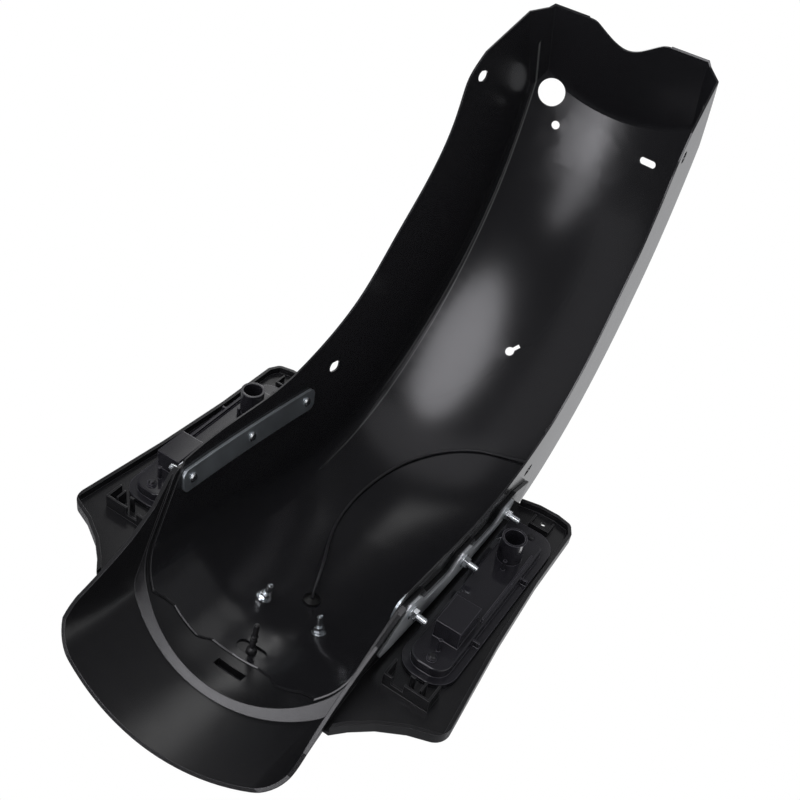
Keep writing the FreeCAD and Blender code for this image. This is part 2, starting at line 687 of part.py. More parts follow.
wing.Placement = wing_place.multiply(wing.Placement)
wing = wing.cut(ring_body(fascia_in, 96.0, 192.0, 120.0))
wing = wing.cut(lip_body(0.0, low_z - 20.0, joggle_z, 50.0))
fascia = only_solid(panel.fuse([wing, mirrored(wing)]).removeSplitter())

# Rectangular slot of the fascia with a blind pocket behind it
hatch_long = size("hatch_length")
hatch_wide = size("hatch_width")
pocket_wall = 1.5
hatch_at_low = V(-hatch_long / 2.0, -hatch_wide / 2.0, -12.0 + fascia_in)
hatch = Part.makeBox(hatch_long, hatch_wide, size("pocket_deep") + 12.0, hatch_at_low)
hatch_back = Part.makeBox(
    hatch_long + 2 * pocket_wall, hatch_wide + 2 * pocket_wall, size("pocket_deep") + pocket_wall - 1.0,
    V(-hatch_long / 2.0 - pocket_wall, -hatch_wide / 2.0 - pocket_wall, fascia_in + 1.0)
)
hatch.Placement = hatch_at
hatch_back.Placement = hatch_at
fascia = fascia.fuse(hatch_back)
blind = fascia_out - 0.8
fascia_tools = [hatch, cutter(grommet_at, size("grommet_radius") + 2.2, -4, blind)]
fascia_tools += side_holes + [mirrored(one) for one in side_holes]
fascia_tools += [cutter(at, stud_hole, -4, blind) for at in crown_studs]
for tool in fascia_tools:
    fascia = fascia.cut(tool)
fascia = only_solid(fascia)
NODES.append(add_shape("rear_fascia", fascia))


# Inner stud bars and outer brackets follow the curved side walls
def plate_tool(first, last, half, corner):
    tool = Part.makeBox(last - first, 2 * half, 60, V(first, -half, -30))
    upright = [e for e in tool.Edges if e.BoundBox.ZLength > 50]
    tool = tool.makeFillet(corner, upright)
    turn = Rot(bar_dir, across, V(1, 0, 0), "ZXY")
    tool.Placement = Place(first_stud + V(half_width, 0, 0), turn)
    return tool


bar_width = size("bar_width")
bar_plate = size("bar_plate")
bar_ring = ring_body(-size("seat_play"), 120.0, 180.0, 170.0).cut(ring_body(-bar_plate, 116.0, 184.0, 160.0))
bar = bar_ring.common(plate_tool(-11.0, 2 * pitch + 11.0, bar_width / 2.0, 6.0))
for at in side_studs:
    bar = bar.cut(cutter(at, stud_hole, -10, 10))
bar = only_solid(bar)

lug = bar_width / 2.0
BRACKET = [
    (-13.0, 2.0), (-11.0, 7.0), (-6.0, lug + 0.5), (6.0, lug + 0.5), (12.0, 6.0), (18.0, -2.0), (24.0, -4.0),
    (pitch - 24.0, -4.0), (pitch - 18.0, -2.0), (pitch - 12.0, 6.0), (pitch - 6.0, lug + 0.5),
    (pitch + 6.0, lug + 0.5), (pitch + 12.0, 6.0), (pitch + 18.0, -2.0), (pitch + 24.0, -4.0),
    (2 * pitch - 24.0, -4.0), (2 * pitch - 18.0, -2.0), (2 * pitch - 12.0, 6.0), (2 * pitch - 6.0, lug + 0.5),
    (2 * pitch + 6.0, lug + 0.5), (2 * pitch + 11.0, 6.0), (2 * pitch + 22.0, -14.0),
    (2 * pitch + 28.0, -26.0), (2 * pitch + 24.0, -32.0), (2 * pitch + 14.0, -32.0), (pitch, -20.0),
    (-6.0, -11.0), (-12.0, -7.0),
]
bracket_ring = ring_body(bracket_out, 120.0, 180.0, 170.0)
bracket_ring = bracket_ring.cut(ring_body(fascia_out, 116.0, 184.0, 160.0))
bracket = bracket_ring.common(prism([spot(a, b) for a, b in BRACKET], 60.0, 140.0))
for at in side_studs:
    bracket = bracket.cut(cutter(at, stud_hole, -10, 20))
bracket = only_solid(bracket)
NODES.append(add_shape("stud_bar_right", bar))
NODES.append(add_shape("side_bracket_right", bracket))


def origin_plane(body, role):
    for part in body.Origin.OriginFeatures:
        if part.Role == role:
            return part
    raise RuntimeError("no plane " + role)


def new_body(name):
    body = doc.addObject("PartDesign::Body", name)
    body.Label = name
    return body


def flat_sketch(body, name, height, role="XY_Plane"):
    # sketch parallel to a plane of the body, at a height given as a formula
    sketch = body.newObject("Sketcher::SketchObject", name)
    sketch.AttachmentSupport = [(origin_plane(body, role), "")]
    sketch.MapMode = "FlatFace"
    if height:
        sketch.setExpression("AttachmentOffset.Base.z", height)
    return sketch


def bind(sketch, index, formula):
    sketch.setExpression("Constraints[%d]" % index, formula)


def add_circle(sketch, x, y, radius):
    ring = sketch.addGeometry(Part.Circle(V(3, 4, 0), V(0, 0, 1), 1.5), False)
    bind(sketch, sketch.addConstraint(Sketcher.Constraint("DistanceX", -1, 1, ring, 3, 3.0)), x)
    bind(sketch, sketch.addConstraint(Sketcher.Constraint("DistanceY", -1, 1, ring, 3, 4.0)), y)
    bind(sketch, sketch.addConstraint(Sketcher.Constraint("Radius", ring, 1.5)), radius)


def add_outline(sketch, corners):
    # closed outline, each corner placed by two formulas
    count = len(corners)
    around = [V(10 * math.cos(6.28 * i / count), 10 * math.sin(6.28 * i / count), 0) for i in range(count)]
    lines = []
    for i in range(count):
        lines.append(sketch.addGeometry(Part.LineSegment(around[i], around[(i + 1) % count]), False))
    for i in range(count):
        sketch.addConstraint(Sketcher.Constraint("Coincident", lines[i], 2, lines[(i + 1) % count], 1))
    for line, at, (x, y) in zip(lines, around, corners):
        bind(sketch, sketch.addConstraint(Sketcher.Constraint("DistanceX", -1, 1, line, 1, at.x)), x)
        bind(sketch, sketch.addConstraint(Sketcher.Constraint("DistanceY", -1, 1, line, 1, at.y)), y)


def add_box_outline(sketch, x0, y0, x1, y1):
    add_outline(sketch, [(x0, y0), (x1, y0), (x1, y1), (x0, y1)])


def add_pad(body, name, sketch, length, down=False):
    pad = body.newObject("PartDesign::Pad", name)
    pad.Profile = sketch
    pad.Reversed = down
    pad.setExpression("Length", length)
    doc.recompute()
    return pad


def add_pocket(body, name, sketch, length, up=False):
    before = body.Shape.Volume
    cut = body.newObject("PartDesign::Pocket", name)
    cut.Profile = sketch
    cut.Reversed = up
    cut.setExpression("Length", length)
    doc.recompute()
    if cut.Shape.Volume > before - 0.01:
        raise RuntimeError("nothing cut by " + name)
    return cut


def add_fillet(body, name, base, pick, formula):
    names = []
    for i, edge in enumerate(base.Shape.Edges, start=1):
        if pick(edge):
            names.append("Edge%d" % i)
    if not names:
        raise RuntimeError("no edges for " + name)
    made = body.newObject("PartDesign::Fillet", name)
    made.Base = (base, names)
    made.setExpression("Radius", formula)
    doc.recompute()
    return made


def upright_at(x_side, y_side, cx, cy):
    # picks upright straight edges on one side of a middle point
    def pick(edge):
        box = edge.BoundBox
        straight = box.XLength < 0.01 and box.YLength < 0.01 and box.ZLength > 0.5
        mid = box.Center
        return straight and (mid.x - cx) * x_side > 0 and (mid.y - cy) * y_side > 0
    return pick


# Formulas that several sketches of the lamp share, across and along the wing
NEAR_X = "Sizes.half_width + Sizes.lamp_in"
FAR_X = "Sizes.half_width + Sizes.lamp_out"
MID_X = "Sizes.half_width + Sizes.driver_x"
PLUG_X = "Sizes.half_width + Sizes.socket_x"
STEP_X = FAR_X + " - Sizes.lamp_step - Sizes.lamp_wall"
UNDER = "-Sizes.lamp_seal - Sizes.lamp_flange"
WING_BASE = (
    "(Sizes.crown_radius - Sizes.wing_depth) * %s(Sizes.wing_phi)"
    " - (Sizes.crown_radius - Sizes.slot_depth) * %s(Sizes.slot_phi)"
)


def in_wing(body):
    body.Placement = Place(V(0, 0, 0), Rot(V(1, 0, 0), 10.0))
    body.setExpression("Placement.Base.y", WING_BASE % ("cos", "cos"))
    body.setExpression("Placement.Base.z", WING_BASE % ("sin", "sin"))
    body.setExpression("Placement.Rotation.Angle", "Sizes.wing_tilt")


def add_twin(source, label):
    twin = doc.addObject("Part::Mirroring", label)
    twin.Label = label
    twin.Source = source
    twin.Base = V(0, 0, 0)
    twin.Normal = V(1, 0, 0)
    doc.recompute()
    return twin


# Lamp housing: flange, raised tray, driver box and a round socket, open
# towards the lens
mid_x = (lamp_in + lamp_out) / 2.0
mid_y = -(lamp_top + lamp_low) / 2.0
housing = new_body("lamp_housing_right")
in_wing(housing)
sk = flat_sketch(housing, "flange_outline", "-Sizes.lamp_seal")
add_box_outline(sk, NEAR_X, "-Sizes.lamp_low", FAR_X, "-Sizes.lamp_top")
pad = add_pad(housing, "flange", sk, "Sizes.lamp_flange", True)


def low_corner(edge):
    return upright_at(1, -1, mid_x, mid_y)(edge) or upright_at(-1, -1, mid_x, mid_y)(edge)


pad = add_fillet(housing, "flange_low", pad, low_corner, "Sizes.lamp_round")
pad = add_fillet(housing, "flange_top", pad, upright_at(1, 1, mid_x, mid_y), "Sizes.lamp_shoulder")
sk = flat_sketch(housing, "tray_outline", "-Sizes.lamp_seal - Sizes.lamp_flange")
add_box_outline(
    sk, NEAR_X + " + Sizes.lamp_step", "-Sizes.lamp_low + Sizes.lamp_step",
    FAR_X + " - Sizes.lamp_step", "-Sizes.lamp_tray_top",
)
tray = add_pad(housing, "tray", sk, "Sizes.lamp_deep", True)
deep_z = -(size("lamp_seal") + size("lamp_flange") + size("lamp_deep"))


def tray_upright(side):
    def pick(edge):
        box = edge.BoundBox
        straight = box.XLength < 0.01 and box.YLength < 0.01 and box.ZLength > size("lamp_deep") - 0.5
        return straight and (box.Center.y - mid_y) * side > 0
    return pick


tray = add_fillet(housing, "tray_corners", tray, tray_upright(-1), "Sizes.lamp_round - Sizes.lamp_step")
tray = add_fillet(housing, "tray_shoulders", tray, tray_upright(1), "Sizes.lamp_wall * 2")


def tray_rim(edge):
    box = edge.BoundBox
    return abs(box.ZMax - deep_z) < 0.01 and abs(box.ZMin - deep_z) < 0.01


tray = add_fillet(housing, "tray_rim", tray, tray_rim, "Sizes.lamp_wall * 0.6")
sk = flat_sketch(housing, "driver_outline", "-Sizes.lamp_seal - Sizes.lamp_flange - Sizes.lamp_deep")
add_box_outline(
    sk, MID_X + " - Sizes.driver_wide / 2", "-Sizes.driver_low",
    MID_X + " + Sizes.driver_wide / 2", "-Sizes.driver_top",
)
tray = add_pad(housing, "driver_box", sk, "Sizes.driver_deep", True)
sk = flat_sketch(housing, "socket_outline", "-Sizes.lamp_seal - Sizes.lamp_flange")
add_circle(sk, PLUG_X, "-Sizes.socket_at", "Sizes.socket_radius")
tray = add_pad(housing, "socket", sk, "Sizes.lamp_deep + Sizes.socket_deep", True)
sk = flat_sketch(housing, "boss_outline", "-Sizes.lamp_seal - Sizes.lamp_flange - Sizes.lamp_deep")
add_circle(sk, MID_X, "-Sizes.boss_at", "Sizes.boss_radius")
tray = add_pad(housing, "boss", sk, "Sizes.lamp_wall", True)
tray_face = "-Sizes.lamp_seal - Sizes.lamp_flange - Sizes.lamp_deep"
sk = flat_sketch(housing, "peg_outline", tray_face)
add_circle(sk, MID_X, "-Sizes.peg_at", "Sizes.peg_radius")
tray = add_pad(housing, "peg", sk, "Sizes.peg_high", True)
sk = flat_sketch(housing, "post_outline", tray_face)
add_circle(sk, MID_X, "-Sizes.post_at", "Sizes.peg_radius")
tray = add_pad(housing, "post", sk, "Sizes.post_high", True)
sk = flat_sketch(housing, "rib_outline", tray_face)
rib_x = STEP_X
add_box_outline(sk, rib_x + " - Sizes.rib_wide", "-Sizes.rib_low", rib_x, "-Sizes.rib_top")
tray = add_pad(housing, "long_rib", sk, "Sizes.rib_high", True)
for which in ("gusset_top", "gusset_low"):
    sk = flat_sketch(housing, which + "_outline", "-Sizes.lamp_seal - Sizes.lamp_flange")
    add_box_outline(
        sk, FAR_X + " - Sizes.lamp_step - 1", "-Sizes." + which + " - Sizes.rib_wide",
        FAR_X + " - 0.5", "-Sizes." + which,
    )
    tray = add_pad(housing, which, sk, "Sizes.gusset_high", True)
sk = flat_sketch(housing, "cavity_outline", "-Sizes.lamp_seal")
inset = "Sizes.lamp_step + Sizes.lamp_wall"
chamfer = "Sizes.lamp_round / 2"
add_outline(sk, [
    (NEAR_X + " + " + inset, "-Sizes.lamp_low + " + inset + " + " + chamfer),
    (NEAR_X + " + " + inset + " + " + chamfer, "-Sizes.lamp_low + " + inset),
    (STEP_X + " - " + chamfer, "-Sizes.lamp_low + " + inset),
    (STEP_X, "-Sizes.lamp_low + " + inset + " + " + chamfer),
    (STEP_X, "-Sizes.lamp_tray_top - Sizes.lamp_wall"),
    (NEAR_X + " + " + inset, "-Sizes.lamp_tray_top - Sizes.lamp_wall"),
])
tray = add_pocket(housing, "cavity", sk, "Sizes.lamp_flange + Sizes.lamp_deep - Sizes.lamp_wall")
sk = flat_sketch(housing, "driver_cavity", "-Sizes.lamp_seal - Sizes.lamp_flange")
add_box_outline(
    sk, MID_X + " - Sizes.driver_wide / 2 + Sizes.lamp_wall", "-Sizes.driver_low + Sizes.lamp_wall",
    MID_X + " + Sizes.driver_wide / 2 - Sizes.lamp_wall", "-Sizes.driver_top - Sizes.lamp_wall",
)
tray = add_pocket(housing, "driver_room", sk, "Sizes.lamp_deep + Sizes.driver_deep - Sizes.lamp_wall")
socket_end = "-Sizes.lamp_seal - Sizes.lamp_flange - Sizes.lamp_deep - Sizes.socket_deep"
sk = flat_sketch(housing, "socket_bore", socket_end)
add_circle(sk, PLUG_X, "-Sizes.socket_at", "Sizes.socket_radius - Sizes.lamp_wall")
tray = add_pocket(housing, "socket_mouth", sk, "Sizes.socket_deep - Sizes.lamp_wall", True)
sk = flat_sketch(housing, "screw_bores", UNDER + " - Sizes.lamp_deep - Sizes.lamp_wall")
add_circle(sk, MID_X, "-Sizes.boss_at", "Sizes.screw_radius + 0.2")
tray = add_pocket(housing, "low_screw_bore", sk, "Sizes.lamp_wall * 2 + 0.5", True)
sk = flat_sketch(housing, "top_screw_bore", "-Sizes.lamp_seal - Sizes.lamp_flange")
add_circle(sk, MID_X, "-Sizes.top_screw_at", "Sizes.screw_radius + 0.2")
tray = add_pocket(housing, "flange_screw_bore", sk, "Sizes.lamp_flange", True)
NODES.append(housing)

# Gasket between the wing and the lamp flange
seal = new_body("lamp_seal_right")
in_wing(seal)
sk = flat_sketch(seal, "seal_outline", "")
add_box_outline(sk, NEAR_X + " + 1", "-Sizes.lamp_low + 1", FAR_X + " - 1", "-Sizes.lamp_top - 1")
pad = add_pad(seal, "seal_sheet", sk, "Sizes.lamp_seal", True)
pad = add_fillet(seal, "seal_low", pad, low_corner, "Sizes.lamp_round - 1")
pad = add_fillet(seal, "seal_top", pad, upright_at(1, 1, mid_x, mid_y), "Sizes.lamp_shoulder - 1")
sk = flat_sketch(seal, "seal_window", "")
seal_cut = "Sizes.lens_corner / 2"
add_outline(sk, [
    (NEAR_X + " + Sizes.window_in", "-Sizes.lamp_low + Sizes.window_in + " + seal_cut),
    (NEAR_X + " + Sizes.window_in + " + seal_cut, "-Sizes.lamp_low + Sizes.window_in"),
    (FAR_X + " - Sizes.window_in - " + seal_cut, "-Sizes.lamp_low + Sizes.window_in"),
    (FAR_X + " - Sizes.window_in", "-Sizes.lamp_low + Sizes.window_in + " + seal_cut),
    (FAR_X + " - Sizes.window_in", "-Sizes.window_top"),
    (NEAR_X + " + Sizes.window_in", "-Sizes.window_top"),
])
pad = add_pocket(seal, "seal_opening", sk, "Sizes.lamp_seal")
sk = flat_sketch(seal, "seal_screw", "")
add_circle(sk, MID_X, "-Sizes.top_screw_at", "Sizes.screw_radius + 0.4")
pad = add_pocket(seal, "seal_screw_hole", sk, "Sizes.lamp_seal")
NODES.append(seal)

# Lens: a shallow dome that fills the window of the wing from the rear
lens = new_body("lamp_lens_right")
in_wing(lens)
sk = flat_sketch(lens, "lens_outline", "-Sizes.lamp_seal")
near = "Sizes.window_in + Sizes.lens_play"
add_box_outline(
    sk, NEAR_X + " + " + near, "-Sizes.lamp_low + " + near,
    FAR_X + " - Sizes.window_in - Sizes.lens_play", "-Sizes.window_top - Sizes.lens_play",
)
pad = add_pad(lens, "lens_block", sk, "Sizes.lamp_seal + Sizes.wing_wall + Sizes.lens_dome")
lens_high = size("wing_wall") + size("lens_dome")


def lens_upright(edge):
    box = edge.BoundBox
    return box.XLength < 0.01 and box.YLength < 0.01 and box.ZLength > 5.0


pad = add_fillet(lens, "lens_corners", pad, lens_upright, "Sizes.lens_corner")


def lens_top(edge):
    return abs(edge.BoundBox.ZMin - lens_high) < 0.01


pad = add_fillet(lens, "lens_edge", pad, lens_top, "Sizes.lens_corner * 0.3")
sk = flat_sketch(lens, "lens_hollow", "-Sizes.lamp_seal")
low_x = NEAR_X + " + Sizes.lens_wall + " + near
high_x = FAR_X + " - Sizes.window_in - Sizes.lens_play - Sizes.lens_wall"
low_y = "-Sizes.lamp_low + Sizes.lens_wall + " + near
high_y = "-Sizes.window_top - Sizes.lens_play - Sizes.lens_wall"
facet = "Sizes.lens_corner * 0.6"
add_outline(sk, [
    (low_x, low_y + " + " + facet), (low_x + " + " + facet, low_y),
    (high_x + " - " + facet, low_y), (high_x, low_y + " + " + facet),
    (high_x, high_y + " - " + facet), (high_x + " - " + facet, high_y),
    (low_x + " + " + facet, high_y), (low_x, high_y + " - " + facet),
])
lens_room = "Sizes.lamp_seal + Sizes.wing_wall + Sizes.lens_dome - Sizes.lens_wall - 1"
pad = add_pocket(lens, "lens_room", sk, lens_room, True)
NODES.append(lens)

# Light board inside the housing, resting on the lens rim side
board = new_body("lamp_board_right")
in_wing(board)
sk = flat_sketch(board, "board_outline", "-Sizes.lamp_seal - Sizes.board_depth")
clear = "Sizes.lamp_step + Sizes.lamp_wall + Sizes.board_play"
add_box_outline(
    sk, NEAR_X + " + " + clear, "-Sizes.lamp_low + Sizes.lamp_round / 2 + " + clear,
    FAR_X + " - Sizes.lamp_step - Sizes.lamp_wall - Sizes.board_play",
    "-Sizes.lamp_tray_top - Sizes.lamp_wall - Sizes.board_play",
)
pad = add_pad(board, "board_sheet", sk, "Sizes.board_sheet", True)
NODES.append(board)

# Two screws: one through the flange into the wing, one in the lower boss
screw = new_body("lamp_screw_form")
sk = flat_sketch(screw, "screw_half", "", "XZ_Plane")
add_outline(sk, [
    ("0 mm", "Sizes.screw_head"), ("Sizes.screw_radius * 1.4", "Sizes.screw_head"),
    ("Sizes.screw_radius * 2", "Sizes.screw_head * 0.4"), ("Sizes.screw_radius * 2", "0.02 mm"),
    ("Sizes.screw_radius", "0.02 mm"), ("Sizes.screw_radius", "-Sizes.screw_long"),
    ("0 mm", "-Sizes.screw_long"),
])
turned = screw.newObject("PartDesign::Revolution", "screw_turned")
turned.Profile = sk
turned.ReferenceAxis = (sk, ["V_Axis"])
turned.Angle = 360.0
doc.recompute()


def wing_spot(x, s, z):
    return wing_place.multiply(Place(V(x, -s, z), Rot(V(1, 0, 0), 180.0)))


def copies(form, places):
    made = []
    for place in places:
        one = form.Shape.copy()
        one.Placement = place
        made.append(one)
    return Part.makeCompound(made)


flange_z = -size("lamp_seal") - size("lamp_flange")
screw_places = [
    wing_spot(screw_x, size("top_screw_at"), flange_z),
    wing_spot(screw_x, size("boss_at"), flange_z - size("lamp_deep") - size("lamp_wall")),
]
NODES.append(add_shape("lamp_screws_right", copies(screw, screw_places)))

# Studs of the side bars
stud = new_body("bar_stud_form")
sk = flat_sketch(stud, "stud_half", "", "XZ_Plane")
add_outline(sk, [
    ("0 mm", "-Sizes.bar_plate - Sizes.stud_head"),
    ("Sizes.stud_radius * 1.2", "-Sizes.bar_plate - Sizes.stud_head"),
    ("Sizes.stud_radius * 1.7", "-Sizes.bar_plate - Sizes.stud_head * 0.4"),
    ("Sizes.stud_radius * 1.7", "-Sizes.bar_plate - 0.04"), ("Sizes.stud_radius", "-Sizes.bar_plate - 0.04"),
    ("Sizes.stud_radius", "Sizes.side_stud_out - 0.6"), ("Sizes.stud_radius - 0.6", "Sizes.side_stud_out"),
    ("0 mm", "Sizes.side_stud_out"),
])
turned = stud.newObject("PartDesign::Revolution", "stud_turned")
turned.Profile = sk
turned.ReferenceAxis = (sk, ["V_Axis"])
turned.Angle = 360.0
doc.recompute()
NODES.append(add_shape("bar_studs_right", copies(stud, side_studs)))

# Flange nut: round flange, hexagon and a bore that clears the stud
nut = new_body("flange_nut_form")
sk = flat_sketch(nut, "nut_flange", "")
add_circle(sk, "0 mm", "0 mm", "Sizes.nut_flange")
pad = add_pad(nut, "nut_disc", sk, "Sizes.nut_foot")
sk = flat_sketch(nut, "nut_hexagon", "Sizes.nut_foot")
hexagon = []
for i in range(6):
    c = round(math.cos(math.radians(60 * i)), 6)
    d = round(math.sin(math.radians(60 * i)), 6)
    hexagon.append(("Sizes.nut_flats / 1.7320508 * (%s)" % c, "Sizes.nut_flats / 1.7320508 * (%s)" % d))
add_outline(sk, hexagon)
pad = add_pad(nut, "nut_hex", sk, "Sizes.nut_high")
sk = flat_sketch(nut, "nut_bore", "")
add_circle(sk, "0 mm", "0 mm", "Sizes.stud_radius + Sizes.nut_play")
pad = add_pocket(nut, "nut_thread", sk, "Sizes.nut_foot + Sizes.nut_high", True)


def lifted(place, height, flip=False):
    turn = Rot(V(1, 0, 0), 180.0) if flip else Rot(V(0, 0, 1), 17.0)
    return place.multiply(Place(V(0, 0, height), turn))


nut_seat = bracket_out + size("seat_play")
NODES.append(add_shape("flange_nuts_right", copies(nut, [lifted(at, nut_seat) for at in side_studs])))

# Washers, nuts and studs that hold the fascia to the crown
washer = new_body("washer_form")
sk = flat_sketch(washer, "washer_disc", "")
add_circle(sk, "0 mm", "0 mm", "Sizes.washer_radius")
add_circle(sk, "0 mm", "0 mm", "Sizes.stud_radius + Sizes.stud_play")
pad = add_pad(washer, "washer_sheet", sk, "Sizes.washer_sheet")
dish = size("crown_seat")
NODES.append(add_shape("fascia_washers", copies(washer, [lifted(at, -dish, True) for at in crown_studs])))
nut_low = dish + size("washer_sheet") + 0.02
NODES.append(add_shape("fascia_nuts", copies(nut, [lifted(at, -nut_low, True) for at in crown_studs])))
crown_stud = new_body("crown_stud_form")
sk = flat_sketch(crown_stud, "crown_stud_ring", "Sizes.steel + Sizes.fascia_gap + Sizes.fascia_wall - 0.85")
add_circle(sk, "0 mm", "0 mm", "Sizes.stud_radius")
pad = add_pad(crown_stud, "crown_stud_rod", sk, "Sizes.crown_stud_long", True)
NODES.append(add_shape("fascia_studs", copies(crown_stud, crown_studs)))

# Grommet in the crown, with a groove for the sheet
grommet = new_body("grommet")
sk = flat_sketch(grommet, "grommet_half", "", "XZ_Plane")
bore = "Sizes.cable_radius + 0.1"
lip_r = "Sizes.grommet_radius + 2"
neck_r = "Sizes.grommet_radius - 0.15"
add_outline(sk, [
    (bore, "-3.4 mm"), ("Sizes.cable_radius + 2", "-3.4 mm"), (lip_r, "-2 mm"), (lip_r, "-0.4 mm"),
    (neck_r, "-0.2 mm"), (neck_r, "Sizes.steel + 0.05"), ("Sizes.grommet_radius + 1.4", "Sizes.steel + 0.1"),
    ("Sizes.grommet_radius + 1.4", "Sizes.steel + 1.2"), (bore, "Sizes.steel + 1.8"),
])
turned = grommet.newObject("PartDesign::Revolution", "grommet_turned")
turned.Profile = sk
turned.ReferenceAxis = (sk, ["V_Axis"])
turned.Angle = 360.0
grommet.Placement = grommet_at
doc.recompute()
NODES.append(grommet)

# Push fastener: boss on the fascia, plain shank and two barbs
plug = new_body("push_fastener")
sk = flat_sketch(plug, "plug_half", "", "XZ_Plane")
seat = "Sizes.steel + Sizes.fascia_gap - Sizes.crown_seat"
thin = "Sizes.plug_radius * 0.6"
add_outline(sk, [
    ("0 mm", seat), ("Sizes.plug_radius * 1.5", seat), ("Sizes.plug_radius * 1.3", "-1.6 mm"),
    ("Sizes.plug_radius", "-2.4 mm"), (thin, "-3 mm"), (thin, "-9 mm"), ("Sizes.plug_radius", "-9.4 mm"),
    (thin, "-12 mm"), (thin, "-14 mm"), ("Sizes.plug_radius", "-14.4 mm"), (thin, "-17 mm"),
    (thin, "-Sizes.plug_long + 1"), (thin + " - 0.6", "-Sizes.plug_long"), ("0 mm", "-Sizes.plug_long"),
])
turned = plug.newObject("PartDesign::Revolution", "plug_turned")
turned.Profile = sk
turned.ReferenceAxis = (sk, ["V_Axis"])
turned.Angle = 360.0
plug.Placement = plug_at
doc.recompute()
NODES.append(plug)

# Wiring cable: out of the grommet, along the inside of the crown, then
# down the inside of the -X wall
cable_radius = size("cable_radius")
rest = cable_radius + 0.6
ROUTE = [
    (152.0, 0.0, -3.2), (152.0, 0.0, 13.0), (149.6, 6.5, 22.0), (146.4, 16.0, 18.5), (142.6, 27.0, 7.5),
    (138.2, 36.5, rest), (133.2, 40.5, rest), (128.4, 38.0, rest), (123.6, 29.5, rest), (119.8, 14.0, rest),
    (117.0, -5.0, rest), (115.2, -26.0, rest), (114.4, -48.0, rest),
]


def inside(phi, x, depth):
    place = crown_place(phi, x)
    return place.multVec(V(0, 0, -depth))


def beside(phi, r, depth):
    # point inside the -X wall
    place = wall_place(*polar(phi, r))
    p = place.multVec(V(0, 0, -depth))
    return V(-p.x, p.y, p.z)


points = [inside(*one) for one in ROUTE]
top_r = section_at(113.8)[0]
plug_rest = size("plug_thick") / 2.0 + 0.4
hang = [(113.6, 17.0, plug_rest + 1.0), (113.0, 43.0, plug_rest), (112.2, 68.0, plug_rest)]
points += [beside(phi, top_r - down, depth) for phi, down, depth in hang]


def cord_path(pts):
    edges = []
    radii = []
    start = pts[0]
    for i in range(1, len(pts) - 1):
        a = pts[i - 1] - pts[i]
        b = pts[i + 1] - pts[i]
        short = min(a.Length, b.Length)
        turn = math.pi - a.getAngle(b)
        cut_back = 0.45 * short
        radii.append(cut_back / math.tan(turn / 2.0))
        a.normalize()
        b.normalize()
        one = pts[i] + a * cut_back
        two = pts[i] + b * cut_back
        half = (a + b)
        half.normalize()
        centre = pts[i] + half * (cut_back / math.cos((math.pi - turn) / 2.0))
        top = centre - half * radii[-1]
        edges.append(Part.LineSegment(start, one).toShape())
        edges.append(Part.Arc(one, top, two).toShape())
        start = two
    edges.append(Part.LineSegment(start, pts[-1]).toShape())
    return Part.Wire(edges), radii


path, radii = cord_path(points)
begin = Part.Circle(points[0], points[1] - points[0], cable_radius).toShape()
cable = path.makePipeShell([Part.Wire([begin])], True, False)
print("cable radii", [round(r, 1) for r in radii])
print("cable runs", [round((b - a).Length, 1) for a, b in zip(points[:-1], points[1:])])
by_length = math.pi * cable_radius ** 2 * path.Length
print("cable volume", round(cable.Volume, 1), "section by length", round(by_length, 1))
print("cable length", round(path.Length, 1))
print("cable points", [[round(v / 1000.0, 5) for v in p] for p in points])
NODES.append(add_shape("wiring_cable", cable))

# Connector on the hidden end of the cable: a flat housing with a latch
connector = new_body("cable_connector")
sk = flat_sketch(connector, "connector_outline", "")
side = "Sizes.plug_wide / 2"
face = "Sizes.plug_thick / 2"
add_box_outline(sk, "-" + side, "-" + face, side, face)
pad = add_pad(connector, "connector_housing", sk, "Sizes.connector_long")
plug_high = size("connector_long")


def long_edge(edge):
    return edge.BoundBox.ZLength > plug_high - 0.1 and edge.BoundBox.XLength < 0.01


pad = add_fillet(connector, "connector_corners", pad, long_edge, "Sizes.plug_thick * 0.15")
sk = flat_sketch(connector, "latch_outline", "Sizes.connector_long * 0.35")
add_box_outline(sk, "-Sizes.plug_wide / 6", "-Sizes.plug_thick / 2 - 1", "Sizes.plug_wide / 6", "0 mm")
pad = add_pad(connector, "latch", sk, "Sizes.connector_long * 0.5")
sk = flat_sketch(connector, "mouth_outline", "Sizes.connector_long")
add_box_outline(sk, "-" + side + " + 1", "-" + face + " + 1", side + " - 1", face + " - 1")
pad = add_pocket(connector, "connector_mouth", sk, "Sizes.connector_long * 0.4")
heading = points[-1] - points[-2]
heading.normalize()
wall_normal = wall_place(points[-1].y, points[-1].z).Rotation.multVec(V(0, 0, 1))
outward = V(-wall_normal.x, wall_normal.y, wall_normal.z)
connector.Placement = Place(points[-1], Rot(outward.cross(heading), outward, heading, "ZYX"))
doc.recompute()
NODES.append(connector)

for node in list(NODES):
    if node.Label.endswith("_right"):
        NODES.append(add_twin(node, node.Label.replace("_right", "_left")))

doc.recompute()
os.makedirs("parts", exist_ok=True)
for item in doc.Objects:
    if "Invalid" in item.State or "Error" in item.State:
        raise RuntimeError("failed: " + item.Label)
for node in NODES:
    shape = node.Shape
    if shape.isNull() or not shape.isValid() or not shape.Solids:
        raise RuntimeError("bad shape: " + node.Label)
    box = shape.BoundBox
    low = [round(v) for v in (box.XMin, box.YMin, box.ZMin)]
    high = [round(v) for v in (box.XMax, box.YMax, box.ZMax)]
    print(node.Label, "solids", len(shape.Solids), "volume", round(shape.Volume), "from", low, "to", high)
for node in NODES:
    node.Shape.exportStep("parts/" + node.Label + ".step")
